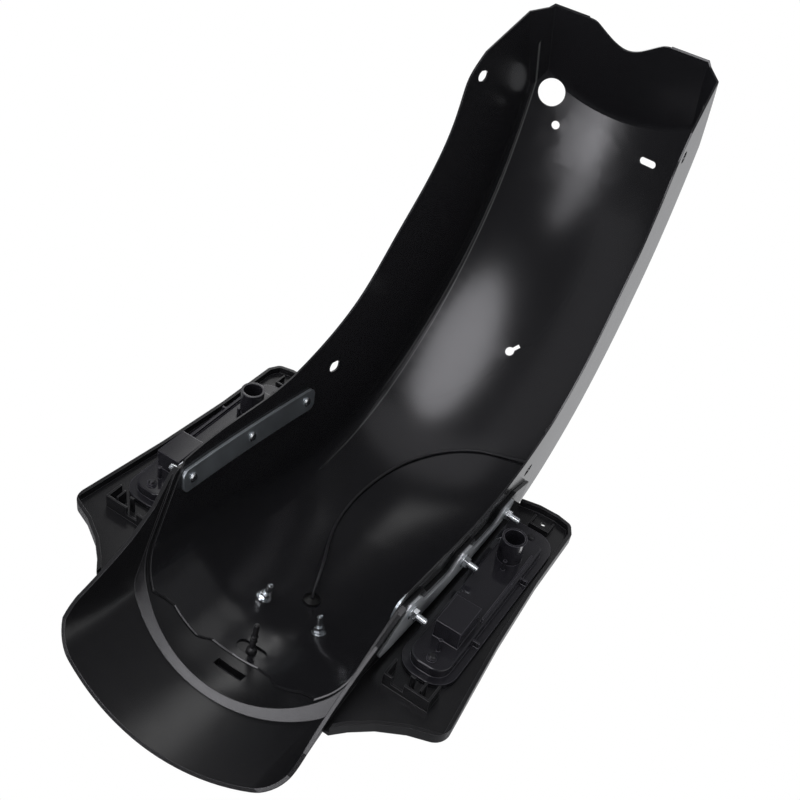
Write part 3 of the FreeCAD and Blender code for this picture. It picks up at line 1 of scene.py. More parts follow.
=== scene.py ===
# %% [markdown]
# # A motorcycle's rear fender, seen from the wheel side
#
# The part is an assembly: a pressed steel shell with a dark satin coat, a
# moulded fascia behind it with a flared lip and two wings, bright zinc bars,
# brackets, studs and nuts, and a smoke-coloured lamp housing behind each wing.
# The shapes come from the imported model, which is loaded first and is never
# moved. This file gives it a camera, light and finishes. It also adds the
# small forms that a mesh makes better than a solid: the threads of the studs,
# the sleeve of the push fastener, the chips on the light boards and the thin
# cable. The finest forms are drawn by the finishes: the fold line between
# crown and wall, which is a painted highlight, the grid of the lens and the
# grain of the coats. The coats also carry a painted highlight along their edges.

# %% Load the model and keep its box
import bpy
import bmesh
import math
import numpy
from mathutils import Matrix, Vector


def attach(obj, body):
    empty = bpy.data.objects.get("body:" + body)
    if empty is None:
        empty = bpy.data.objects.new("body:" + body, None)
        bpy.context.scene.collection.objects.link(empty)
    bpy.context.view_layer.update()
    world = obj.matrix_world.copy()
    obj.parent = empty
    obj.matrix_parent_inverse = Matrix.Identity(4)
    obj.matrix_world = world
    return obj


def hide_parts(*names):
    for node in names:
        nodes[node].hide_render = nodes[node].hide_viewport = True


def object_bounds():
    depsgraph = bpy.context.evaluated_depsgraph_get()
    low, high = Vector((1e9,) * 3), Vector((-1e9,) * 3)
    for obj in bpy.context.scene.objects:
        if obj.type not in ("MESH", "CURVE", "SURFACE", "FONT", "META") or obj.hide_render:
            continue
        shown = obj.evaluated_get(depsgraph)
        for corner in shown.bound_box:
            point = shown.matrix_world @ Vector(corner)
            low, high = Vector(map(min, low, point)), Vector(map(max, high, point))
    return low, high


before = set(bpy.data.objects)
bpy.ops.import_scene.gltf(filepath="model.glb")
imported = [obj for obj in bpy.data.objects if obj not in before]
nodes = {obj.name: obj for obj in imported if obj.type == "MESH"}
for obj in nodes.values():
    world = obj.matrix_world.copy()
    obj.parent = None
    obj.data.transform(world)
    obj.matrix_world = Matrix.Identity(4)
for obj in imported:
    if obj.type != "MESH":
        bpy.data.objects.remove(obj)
scene = bpy.context.scene
cad_box = [list(corner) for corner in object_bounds()]
print("nodes", len(nodes), "box", [[round(v, 4) for v in corner] for corner in cad_box])

# %% [markdown]
# ## The camera
#
# The fender is looked at from below and from its left side, so that its inner
# surface shows. A camera could be placed by eye, but a few degrees change the
# whole outline of a curved sheet. So the place and the turn were worked out
# from points that can be named on both sides, such as the side slots: the lines
# between them meet far away, which gives the direction of the cross axis, and
# the known width gives the distance.

# %% Place the camera
CAMERA_AT = (-0.2914, 0.0731, -0.8995)
SENSOR_MM, LENS_MM = 36.0, 49.5
NEAR_CLIP = 0.05

camera_data = bpy.data.cameras.new("wheel_side_view")
camera_data.sensor_width = SENSOR_MM
camera_data.lens = LENS_MM
camera_data.clip_start = NEAR_CLIP
camera = bpy.data.objects.new("wheel_side_view", camera_data)
scene.collection.objects.link(camera)
view_right = Vector((-0.8303, 0.448, 0.3315)).normalized()
view_ahead = Vector((0.3345, -0.0752, 0.9394)).normalized()
view_up = view_right.cross(view_ahead).normalized()
turn = Matrix((view_right, view_up, -view_ahead)).transposed()
camera.matrix_world = Matrix.Translation(CAMERA_AT) @ turn.to_4x4()
scene.camera = camera
scene.view_settings.view_transform = "Standard"
print("camera", [round(v, 3) for v in camera.location], "lens", camera_data.lens)

# %% [markdown]
# ## Background and floor
#
# The world behind the fender, the floor and every finish are trees of nodes. A
# tree can be drawn by hand in the shader editor, but a script shows each value
# and makes the same tree every time. Three helpers keep such trees short: one
# places a node with its values, one joins sockets, and one works out a sum of
# two numbers or sockets.

# %% Helpers for trees of nodes
def place(tree, kind, **values):
    # one node, with the values of its named sockets and properties
    node = tree.nodes.new(kind)
    for key, value in values.items():
        if key in node.bl_rna.properties and not node.bl_rna.properties[key].is_readonly:
            setattr(node, key, value)
        else:
            node.inputs[key.replace("_", " ")].default_value = value
    return node


def join(tree, *pairs):
    for source, target in pairs:
        tree.links.new(source, target)


def calc(tree, operation, first, second=0.0, clamp=False):
    # the result of one math node; a number or a socket may stand for each side
    node = place(tree, "ShaderNodeMath", operation=operation, use_clamp=clamp)
    for socket, value in zip(node.inputs, (first, second)):
        if isinstance(value, (int, float)):
            socket.default_value = value
        else:
            tree.links.new(value, socket)
    return node.outputs[0]


print("helpers", [helper.__name__ for helper in (place, join, calc)])

# %% [markdown]
# In a product photograph the object hangs in a white room without corners. The
# room could be a big white box, but its walls would light the object and show
# as grey veils in the dark coat. A world does it better, because a node can
# tell it who is looking. It is white where the camera or a clear plastic sees
# it. Where it lights the object or is mirrored in it, it is a soft grey that
# gets darker downwards.

# %% Make the world
# from the height of a direction to the strength of the light out of it
ROOM_LIGHT = {"From Min": -0.3, "From Max": 0.35, "To Min": 0.06, "To Max": 0.26}


def mix_shaders(tree, share, first, second):
    node = tree.nodes.new("ShaderNodeMixShader")
    join(tree, *zip((share, first, second), node.inputs))
    return node.outputs[0]


world = bpy.data.worlds.new("white_room")
scene.world = world
world.use_nodes = True
room = world.node_tree
room.nodes.clear()
seen = place(room, "ShaderNodeBackground", Color=(1, 1, 1, 1), Strength=1.0)
soft = place(room, "ShaderNodeBackground", Color=(0.95, 0.96, 1.0, 1))
towards = room.nodes.new("ShaderNodeTexCoord")
heights = room.nodes.new("ShaderNodeSeparateXYZ")
fading = place(room, "ShaderNodeMapRange", interpolation_type="SMOOTHSTEP")
for label, value in ROOM_LIGHT.items():
    fading.inputs[label].default_value = value
path = room.nodes.new("ShaderNodeLightPath")
direct = calc(room, "MAXIMUM", path.outputs["Is Camera Ray"], path.outputs["Is Transmission Ray"])
world_output = room.nodes.new("ShaderNodeOutputWorld")
join(
    room,
    (towards.outputs["Generated"], heights.inputs[0]),
    (heights.outputs["Z"], fading.inputs["Value"]),
    (fading.outputs["Result"], soft.inputs["Strength"]),
    (mix_shaders(room, direct, soft.outputs[0], seen.outputs[0]), world_output.inputs["Surface"]),
)
print("room light from", ROOM_LIGHT["To Min"], "below to", ROOM_LIGHT["To Max"], "above")

# %% [markdown]
# A pale floor lies just under the lip and catches the shadow when the fender is
# seen from above. A plain sheet would hide the fender here, because this view
# looks up through it, and its far edge would draw a line. So it is see-through
# from below, for reflections and for shadows, it is very wide, and it has a
# little light of its own for the camera, which brings it near the white of the
# room.

# %% Lay the floor
# the gap under the lip, half the floor's side, and its own light
FLOOR_GAP = 0.001
FLOOR_HALF = 14.0
FLOOR_GLOW = 0.66


def new_material(name):
    material = bpy.data.materials.new(name)
    material.use_nodes = True
    tree = material.node_tree
    tree.nodes.clear()
    output = tree.nodes.new("ShaderNodeOutputMaterial")
    return material, tree, output


floor_z = cad_box[0][2] - FLOOR_GAP
floor_mesh = bpy.data.meshes.new("pale_floor")
corners = [
    (x * FLOOR_HALF, y * FLOOR_HALF, floor_z)
    for x, y in ((-1, -1), (1, -1), (1, 1), (-1, 1))
]
floor_mesh.from_pydata(corners, [], [(0, 1, 2, 3)])
floor = bpy.data.objects.new("pale_floor", floor_mesh)
scene.collection.objects.link(floor)
floor_coat, tree, output = new_material("pale_floor_paint")
paint = place(tree, "ShaderNodeBsdfDiffuse", Color=(0.93, 0.93, 0.93, 1))
glow = place(tree, "ShaderNodeEmission", Color=(1, 1, 1, 1))
clear = place(tree, "ShaderNodeBsdfTransparent")
lit = tree.nodes.new("ShaderNodeAddShader")
facing = tree.nodes.new("ShaderNodeNewGeometry")
rays = tree.nodes.new("ShaderNodeLightPath")
hidden = calc(tree, "MAXIMUM", facing.outputs["Backfacing"], rays.outputs["Is Glossy Ray"])
hidden = calc(tree, "MAXIMUM", hidden, rays.outputs["Is Shadow Ray"])
join(
    tree,
    (calc(tree, "MULTIPLY", rays.outputs["Is Camera Ray"], FLOOR_GLOW), glow.inputs["Strength"]),
    (paint.outputs[0], lit.inputs[0]),
    (glow.outputs[0], lit.inputs[1]),
    (mix_shaders(tree, hidden, lit.outputs[0], clear.outputs[0]), output.inputs["Surface"]),
)
floor_mesh.materials.append(floor_coat)
print("floor at", round(floor_z, 4))

# %% [markdown]
# ## Light
#
# Black things are drawn by what they reflect. One bright lamp would give a
# single hard spot, and a bright room would turn the black to grey, so this is
# lit as a photographer lights black lacquer: with several large, weak panels.
# Most of them hang where the mirror direction of one part of the surface
# points, as seen from this camera: one for the sheen near the end panel, one for
# the sheen in the middle of the crown, one overhead for the outside of the left
# wall, which is seen at a grazing angle, one for the ledge of the joggle, one
# ahead of the front end for the lip and one for the tail. Two weak fills from
# below and one wide lamp from the side keep the rest from going black. Three
# keys above serve the outside, which only the other views see.
#
# One helper makes a lamp. It stays out of the camera's sight.

# %% A helper for one lamp
def soft_lamp(name, place_at, aim, size, power, tint, along, shape):
    # a lamp whose height runs along one direction, seen square from the aim
    data = bpy.data.lights.new(name, "AREA")
    data.shape = shape
    data.size, data.size_y = size
    data.energy = power
    data.color = tint
    lamp = bpy.data.objects.new(name, data)
    scene.collection.objects.link(lamp)
    back = (Vector(place_at) - Vector(aim)).normalized()
    across = Vector(along).cross(back).normalized()
    turned = Matrix((across, back.cross(across), back)).transposed()
    lamp.matrix_world = Matrix.Translation(place_at) @ turned.to_4x4()
    lamp.visible_camera = False
    lamp.visible_transmission = False


print("helper", soft_lamp.__name__)

# %% [markdown]
# The lamps are a table, so that one can be moved without reading the rest. Each
# row gives its place and aim, its width and height in metres, its power in
# watts, its tint, the direction that its height runs in, and its shape. Oval
# lamps leave soft ends on a sheen, where a rectangle would show its corners.

# %% Hang the lamps
WHITE = (1.0, 1.0, 1.0)
VIOLET = (0.96, 0.95, 1.0)
FORWARD = (0, 1, 0.001)
UPRIGHT = (0, 0, 1)
BOX = "RECTANGLE"
OVAL = "ELLIPSE"

LAMPS = {
    "panel_sheen": (
        (0.3, -0.38, -1.02), (0.01, 0.27, 0.12), (0.18, 0.64), 0.85, VIOLET,
        (0.2, -0.86, 0.49), OVAL,
    ),
    "crown_sheen": (
        (0.065, 0.6, -1.11), (0.04, 0.07, 0.13), (0.42, 0.86), 4.7, VIOLET,
        (0.16, 0.89, 0.43), OVAL,
    ),
    "low_fill": ((0.25, 1.12, -0.74), (0.02, 0.0, 0.1), (1.0, 0.4), 0.7, VIOLET, (0, 0.4, 1), BOX),
    "side_fill": ((0.76, 0.3, -1.05), (0.0, 0.1, 0.12), (0.42, 1.5), 0.7, VIOLET, (0, 1, 0.2), BOX),
    "overhead": ((-0.05, 0.15, 1.6), (-0.09, 0.1, 0), (1.5, 1.6), 2.7, WHITE, FORWARD, BOX),
    "ledge_lamp": (
        (0.21, -0.51, -0.93), (-0.05, -0.23, -0.17), (0.28, 0.24), 0.95, VIOLET, FORWARD, BOX,
    ),
    "ahead_lamp": (
        (0.58, 1.25, -0.06), (-0.03, -0.22, -0.15), (0.6, 0.45), 1.2, WHITE, FORWARD, BOX,
    ),
    "rear_key": ((1.0, -1.5, 1.1), (0, 0, 0), (0.8, 1.4), 13.0, WHITE, UPRIGHT, BOX),
    "front_key": ((1.1, 1.6, 1.2), (0, 0.1, 0), (0.8, 1.4), 11.0, WHITE, UPRIGHT, BOX),
    "left_key": ((-1.7, -0.9, 0.9), (0, 0, 0), (0.5, 1.2), 6.0, WHITE, UPRIGHT, BOX),
    "tail_lamp": (
        (-0.1, 1.25, 0.27), (-0.05, -0.15, -0.05), (0.5, 0.5), 0.36, WHITE, FORWARD, OVAL,
    ),
    "side_lamp": ((-1.4, 0.2, -0.6), (0, 0, 0), (1.7, 1.7), 6.0, WHITE, FORWARD, BOX),
}
for name, row in LAMPS.items():
    soft_lamp(name, *row)
print("lamps", len(LAMPS), "with", round(sum(row[3] for row in LAMPS.values()), 2), "W")

# %% [markdown]
# ## Effects that several finishes share
#
# Grain, soft edges, the fold line and the look of drawn metal turn up in many
# finishes. They could be copied into each material, but then a change has to be
# made many times. Each is a node group with its own sockets instead, built once
# and placed in a material with other values, as a tool is set for another job.
# The groups give only masks, heights and normals. The shader itself stays in
# the material.

# %% Helpers that build a group and place it
FLOAT = "NodeSocketFloat"
VECTOR = "NodeSocketVector"


def new_group(name, inputs, outputs):
    group = bpy.data.node_groups.new(name, "ShaderNodeTree")
    for label, kind, value in inputs:
        socket = group.interface.new_socket(label, in_out="INPUT", socket_type=kind)
        socket.default_value = value
    for label, kind in outputs:
        group.interface.new_socket(label, in_out="OUTPUT", socket_type=kind)
    entry = group.nodes.new("NodeGroupInput")
    leave = group.nodes.new("NodeGroupOutput")
    return group, entry, leave


def use_group(tree, group, **values):
    node = tree.nodes.new("ShaderNodeGroup")
    node.node_tree = group
    for key, value in values.items():
        node.inputs[key.replace("_", " ")].default_value = value
    return node


print("helpers", [helper.__name__ for helper in (new_group, use_group)])

# %% [markdown]
# ### Grain
#
# A sprayed or dipped coat has a very shallow ripple, and moulded plastic has
# the fine texture of its mould. Real relief of that size would need millions of
# faces, so it is a bump. Two layers of noise at different scales make it, and
# the same noise moves the roughness a little, so highlights break up as they do
# on the real surface.

# %% Build the grain group
grain_group, entry, leave = new_group(
    "surface grain",
    [("Fine Scale", FLOAT, 900.0), ("Ripple Scale", FLOAT, 60.0), ("Ripple Share", FLOAT, 0.5)],
    [("Height", FLOAT), ("Mottle", FLOAT)],
)
here = grain_group.nodes.new("ShaderNodeTexCoord")
fine = place(grain_group, "ShaderNodeTexNoise", Detail=3.0, Roughness=0.6)
ripple = place(grain_group, "ShaderNodeTexNoise", Detail=2.0, Roughness=0.5)
blend = place(grain_group, "ShaderNodeMix")
# the number sockets of the mix node are 0 for the share, then 2 and 3
join(
    grain_group,
    (here.outputs["Object"], fine.inputs["Vector"]),
    (here.outputs["Object"], ripple.inputs["Vector"]),
    (entry.outputs["Fine Scale"], fine.inputs["Scale"]),
    (entry.outputs["Ripple Scale"], ripple.inputs["Scale"]),
    (entry.outputs["Ripple Share"], blend.inputs[0]),
    (fine.outputs["Fac"], blend.inputs[2]),
    (ripple.outputs["Fac"], blend.inputs[3]),
    (blend.outputs[0], leave.inputs["Height"]),
    (ripple.outputs["Fac"], leave.inputs["Mottle"]),
)
print("group", grain_group.name, "with", len(grain_group.nodes), "nodes")

# %% [markdown]
# ### Soft edges
#
# No sheet or moulding ends in a knife edge: it has a small round that catches a
# thin line of light. The rounds could be cut into the mesh, but the solids stay
# as they are here, so the bevel node turns the normal near an edge as if that
# round were there. The angle between the turned normal and the true one also
# marks where the edge is, so that a coat can be a little duller on it and carry
# a painted highlight there: a lighter colour that stands in for the line of
# light.

# %% Build the soft edge group
EDGE_REACH = 3.0

edge_group, entry, leave = new_group(
    "soft edge",
    [("Round", FLOAT, 0.0006), ("Reach", FLOAT, EDGE_REACH)],
    [("Normal", VECTOR), ("Edge", FLOAT)],
)
bevel = place(edge_group, "ShaderNodeBevel", samples=6)
flat = edge_group.nodes.new("ShaderNodeNewGeometry")
alike = place(edge_group, "ShaderNodeVectorMath", operation="DOT_PRODUCT")
join(
    edge_group,
    (entry.outputs["Round"], bevel.inputs["Radius"]),
    (bevel.outputs[0], alike.inputs[0]),
    (flat.outputs["Normal"], alike.inputs[1]),
    (bevel.outputs[0], leave.inputs["Normal"]),
)
# the edge mask, which the coats use for a painted highlight and a duller shine
turned_away = calc(edge_group, "SUBTRACT", 1.0, alike.outputs["Value"])
edge = calc(edge_group, "MULTIPLY", turned_away, entry.outputs["Reach"], clamp=True)
edge_group.links.new(edge, leave.inputs["Edge"])
print("group", edge_group.name, "with", len(edge_group.nodes), "nodes")

# %% [markdown]
# ### Fold line
#
# Between the crown and each side wall the press leaves a fine fold, which the
# eye reads as one thin pale line along the inside, a line of light on the tight
# fold. It is about a millimetre wide and as long as the fender. A strip of mesh
# would have to follow the sheet exactly, so the line is a painted highlight in
# the coat's colour. It keeps one distance from the middle plane, and a narrow
# pulse on that distance marks it. It fades near the tail, where the corner opens
# out, and stays off the outside by its distance from the wheel's axis.

# %% Build the fold line group
# the wheel's axis
WHEEL_Y, WHEEL_Z = 0.140, -0.222
# the fold's distance from the middle plane, and half its width
FOLD_ASIDE = 0.0803
FOLD_WIDTH = 0.0009
# the crown's inside lies between these distances from the axis
CROWN_FROM, CROWN_TO = 0.338, 0.3567
# the line starts this far behind the rear slots and grows at this rate
FADE_BACK = 0.095
FADE_PER_METRE = 16.0

fold_highlight_group, entry, leave = new_group(
    "fold line",
    [
        ("Aside", FLOAT, FOLD_ASIDE), ("Width", FLOAT, FOLD_WIDTH),
        ("Axis Y", FLOAT, WHEEL_Y), ("Axis Z", FLOAT, WHEEL_Z),
    ],
    [("Line", FLOAT)],
)
here = fold_highlight_group.nodes.new("ShaderNodeTexCoord")
apart = fold_highlight_group.nodes.new("ShaderNodeSeparateXYZ")
fold_highlight_group.links.new(here.outputs["Object"], apart.inputs[0])
across, ahead, above = apart.outputs
off_line = calc(
    fold_highlight_group, "SUBTRACT", calc(fold_highlight_group, "ABSOLUTE", across), entry.outputs["Aside"]
)
off_share = calc(
    fold_highlight_group, "DIVIDE", calc(fold_highlight_group, "ABSOLUTE", off_line), entry.outputs["Width"]
)
pulse = calc(fold_highlight_group, "SUBTRACT", 1.0, off_share, clamp=True)
axis_y = calc(fold_highlight_group, "SUBTRACT", ahead, entry.outputs["Axis Y"])
axis_z = calc(fold_highlight_group, "SUBTRACT", above, entry.outputs["Axis Z"])
squares = calc(
    fold_highlight_group, "ADD",
    calc(fold_highlight_group, "MULTIPLY", axis_y, axis_y), calc(fold_highlight_group, "MULTIPLY", axis_z, axis_z),
)
from_axis = calc(fold_highlight_group, "SQRT", squares)
on_crown = calc(
    fold_highlight_group, "MULTIPLY",
    calc(fold_highlight_group, "GREATER_THAN", from_axis, CROWN_FROM),
    calc(fold_highlight_group, "LESS_THAN", from_axis, CROWN_TO),
)
fade = calc(
    fold_highlight_group, "MULTIPLY", calc(fold_highlight_group, "ADD", ahead, FADE_BACK), FADE_PER_METRE, clamp=True
)
kept = calc(fold_highlight_group, "MULTIPLY", on_crown, fade)
# the mask of the painted highlight along the fold
fold_highlight_group.links.new(calc(fold_highlight_group, "MULTIPLY", pulse, kept), leave.inputs["Line"])
print("group", fold_highlight_group.name, "with", len(fold_highlight_group.nodes), "nodes")

# %% [markdown]
# ### Drawn metal
#
# Zinc-plated bar is rolled and then dipped. It shows faint lines along the
# rolling direction and a cloudy bloom across them. An anisotropic shader would
# stretch the highlights too, but these bars are too dull for that to show. The
# lines are noise that is stretched along one axis, which is enough.

# %% Build the drawn metal group
drawn_group, entry, leave = new_group(
    "drawn metal",
    [("Along", VECTOR, (30.0, 900.0, 900.0)), ("Bloom Scale", FLOAT, 45.0)],
    [("Lines", FLOAT), ("Bloom", FLOAT)],
)
here = drawn_group.nodes.new("ShaderNodeTexCoord")
stretch = place(drawn_group, "ShaderNodeVectorMath", operation="MULTIPLY")
lines = place(drawn_group, "ShaderNodeTexNoise", Scale=1.0, Detail=2.0)
bloom = place(drawn_group, "ShaderNodeTexNoise", Detail=4.0, Roughness=0.65)
join(
    drawn_group,
    (here.outputs["Object"], stretch.inputs[0]),
    (entry.outputs["Along"], stretch.inputs[1]),
    (stretch.outputs[0], lines.inputs["Vector"]),
    (here.outputs["Object"], bloom.inputs["Vector"]),
    (entry.outputs["Bloom Scale"], bloom.inputs["Scale"]),
    (lines.outputs["Fac"], leave.inputs["Lines"]),
    (bloom.outputs["Fac"], leave.inputs["Bloom"]),
)
print("group", drawn_group.name, "with", len(drawn_group.nodes), "nodes")

# %% [markdown]
# ## Finishes
#
# Three steps come back in every finish: two colours are mixed by a mask, a mask
# is spread over a range of roughness, and a height becomes a bump. They are
# helpers and not groups, because they hold no effect of their own.

# %% Helpers for finishes
def mix_colours(tree, share, first, second):
    # among the sockets of this node, the two colours are 6 and 7 and their mix is 2
    node = place(tree, "ShaderNodeMix", data_type="RGBA")
    node.inputs[6].default_value = (*first, 1)
    node.inputs[7].default_value = (*second, 1)
    tree.links.new(share, node.inputs[0])
    return node.outputs[2]


def spread_over(tree, source, low, high):
    # takes a value between 0 and 1 to one between low and high
    node = place(tree, "ShaderNodeMapRange")
    node.inputs["To Min"].default_value = low
    node.inputs["To Max"].default_value = high
    tree.links.new(source, node.inputs["Value"])
    return node.outputs["Result"]


def bump_over(tree, height, depth, corner):
    relief = place(tree, "ShaderNodeBump", Strength=1.0, Distance=depth)
    join(
        tree,
        (height, relief.inputs["Height"]),
        (corner.outputs["Normal"], relief.inputs["Normal"]),
    )
    return relief.outputs["Normal"]


print("helpers", [helper.__name__ for helper in (mix_colours, spread_over, bump_over)])

# %% [markdown]
# A finish that reads as black is never quite black: the coat has a dark grey
# base, and its shine does the rest. Each piece could get its own tree of nodes,
# but paint, plastic and rubber differ only in their numbers, so one recipe
# serves them all. It takes a base and an edge colour, a roughness and how much
# the grain moves it, the scales of the grain and the share of its ripple, and
# the depth of the bump. The edge colour is a painted highlight: it lightens the
# base along the edges, where light would catch. Edges are duller than the faces.
# The pressed shell has fainter painted edges and the painted highlight of the
# fold line.

# %% A recipe for coats and mouldings
# how far the painted highlight on the edge of a pressed sheet reaches, and how much duller an edge
# is
PRESSED_REACH = 1.2
EDGE_DULL = 0.3


def coat(
    name, base, edge, rough, rough_move, grain, bump, edge_round=0.0006, folded=False, **shader
):
    material, tree, output = new_material(name)
    skin = place(tree, "ShaderNodeBsdfPrincipled", **shader)
    texture = use_group(
        tree, grain_group, Fine_Scale=grain[0], Ripple_Scale=grain[1], Ripple_Share=grain[2]
    )
    corner = use_group(
        tree, edge_group, Round=edge_round, Reach=PRESSED_REACH if folded else EDGE_REACH
    )
    # painted highlight: the edge mask, and on the shell the fold line, mix the edge colour into the
    # base
    painted_highlight = corner.outputs["Edge"]
    if folded:
        painted_highlight = calc(tree, "MAXIMUM", painted_highlight, use_group(tree, fold_highlight_group).outputs["Line"])
    moved = spread_over(tree, texture.outputs["Mottle"], rough - rough_move, rough + rough_move)
    worn = calc(tree, "MULTIPLY", corner.outputs["Edge"], EDGE_DULL)
    join(
        tree,
        (mix_colours(tree, painted_highlight, base, edge), skin.inputs["Base Color"]),
        (calc(tree, "ADD", moved, worn, clamp=True), skin.inputs["Roughness"]),
        (bump_over(tree, texture.outputs["Height"], bump, corner), skin.inputs["Normal"]),
        (skin.outputs[0], output.inputs["Surface"]),
    )
    return material


print("coat is made of", grain_group.name, "and", edge_group.name)

# %% [markdown]
# The shell has a smooth, satin coat with a painted highlight along its edges: a pale line in its
# colour stands in for the light they catch.
# The fascia is moulded from the same black, a little duller and with a finer
# grain. Rubber is dull, nylon and the cable's jacket are dark grey, and the
# light boards are green with yellow chips. The colours were set against the
# photograph under these lamps, since a black can't be judged on its own.

# %% Mix the coats
# the edge colour of every coat here is a painted highlight along the edges
shell_coat = coat(
    "satin_shell_coat", base=(0.0135, 0.0135, 0.015), edge=(0.13, 0.135, 0.132),
    rough=0.18, rough_move=0.015, grain=(700.0, 70.0, 0.4), bump=0.00003, folded=True,
)
fascia_moulding = coat(
    "fascia_moulding", base=(0.012, 0.012, 0.013), edge=(0.05, 0.05, 0.053),
    rough=0.25, rough_move=0.03, grain=(1600.0, 110.0, 0.25), bump=0.00004,
)
seal_rubber = coat(
    "seal_rubber", base=(0.012, 0.012, 0.012), edge=(0.02, 0.02, 0.02),
    rough=0.75, rough_move=0.08, grain=(500.0, 90.0, 0.3), bump=0.0001,
)
grommet_rubber = coat(
    "grommet_rubber", base=(0.005, 0.005, 0.005), edge=(0.04, 0.04, 0.04),
    rough=0.3, rough_move=0.05, grain=(800.0, 150.0, 0.3), bump=0.00005,
)
nylon = coat(
    "fastener_nylon", base=(0.022, 0.022, 0.023), edge=(0.08, 0.08, 0.08),
    rough=0.36, rough_move=0.05, grain=(900.0, 200.0, 0.3), bump=0.00004,
)
jacket = coat(
    "cable_jacket", base=(0.028, 0.028, 0.03), edge=(0.05, 0.05, 0.05),
    rough=0.45, rough_move=0.06, grain=(900.0, 250.0, 0.4), bump=0.00004,
)
board_green = coat(
    "light_board_mask", base=(0.006, 0.03, 0.014), edge=(0.03, 0.06, 0.04),
    rough=0.35, rough_move=0.05, grain=(1200.0, 300.0, 0.5), bump=0.00003,
)
chip_yellow = coat(
    "light_chip", base=(0.5, 0.4, 0.08), edge=(0.6, 0.55, 0.3),
    rough=0.3, rough_move=0.05, grain=(2000.0, 300.0, 0.5), bump=0.00002,
)
print("coats", [m.name for m in (shell_coat, fascia_moulding, seal_rubber, grommet_rubber)])
print("and", [m.name for m in (nylon, jacket, board_green, chip_yellow)])

# %% [markdown]
# The lamp housings look like smoked glass from the side: their thin edges catch
# the light and turn grey, while the flat faces stay almost black. Real
# transmission would show the boards and the lens through the walls, which the
# photograph doesn't. A dark, glossy plastic with a wider round and a painted
# highlight, a lighter tone on its edges that stands in for the light they catch,
# gives the same look and renders faster.

# %% The smoke plastic of the lamp housings
# the edge colour is a painted highlight along the thin edges
smoke = coat(
    "smoke_plastic", base=(0.017, 0.0165, 0.02), edge=(0.13, 0.125, 0.15),
    rough=0.12, rough_move=0.03, grain=(1400.0, 60.0, 0.5), bump=0.00002,
    edge_round=0.0009, IOR=1.55,
)
print("finish", smoke.name)

# %% [markdown]
# Bright zinc is a pale blue-grey metal. The plating is thin, so the colour
# wanders slightly and the shine is uneven. One flat metal would look like
# chrome, so the recipe for metal takes its lines and its bloom from the drawn
# metal group.

# %% A recipe for plated metal
def plated(name, base, bloom_colour, rough, rough_move, along, bump, edge_round=0.0004):
    material, tree, output = new_material(name)
    skin = place(tree, "ShaderNodeBsdfPrincipled", Metallic=1.0)
    texture = use_group(tree, drawn_group, Along=along)
    corner = use_group(tree, edge_group, Round=edge_round)
    cloudy = texture.outputs["Bloom"]
    shine = spread_over(tree, cloudy, rough - rough_move, rough + rough_move)
    join(
        tree,
        (mix_colours(tree, cloudy, base, bloom_colour), skin.inputs["Base Color"]),
        (shine, skin.inputs["Roughness"]),
        (bump_over(tree, texture.outputs["Lines"], bump, corner), skin.inputs["Normal"]),
        (skin.outputs[0], output.inputs["Surface"]),
    )
    return material


print("plating is made of", drawn_group.name, "and", edge_group.name)

# %% [markdown]
# The bars are dull, with lines lengthways. The brackets are paler and duller
# still, and their lines run the other way. The nuts and studs are turned and
# shine the most, and the lamps' screws are blackened.

# %% Plate the fittings
bar_zinc = plated(
    "zinc_bar", base=(0.74, 0.8, 0.84), bloom_colour=(0.86, 0.93, 0.97),
    rough=0.42, rough_move=0.08, along=(900.0, 40.0, 40.0), bump=0.00004,
)
bracket_zinc = plated(
    "zinc_bracket", base=(0.86, 0.9, 0.93), bloom_colour=(0.95, 0.97, 1.0),
    rough=0.55, rough_move=0.06, along=(40.0, 900.0, 40.0), bump=0.00005,
)
nut_zinc = plated(
    "zinc_nut", base=(0.8, 0.84, 0.87), bloom_colour=(0.92, 0.95, 0.97),
    rough=0.2, rough_move=0.06, along=(500.0, 500.0, 500.0), bump=0.00002,
)
screw_dark = plated(
    "dark_screw", base=(0.05, 0.05, 0.053), bloom_colour=(0.09, 0.09, 0.095),
    rough=0.3, rough_move=0.08, along=(400.0, 400.0, 400.0), bump=0.00002,
)
print("metals", [m.name for m in (bar_zinc, bracket_zinc, nut_zinc, screw_dark)])

# %% [markdown]
# The lens is clear red plastic. Its inside carries rows of small prisms that
# spread the light, which show from outside as a soft grid. Modelled one by one
# they would be hundreds of faces that nobody sees sharply, so two waves that
# cross draw them as a bump.

# %% The red lens
PRISM_SCALE = 90.0
PRISM_DEPTH = 0.0006
LENS_SMOOTHEST, LENS_ROUGHEST = 0.05, 0.12

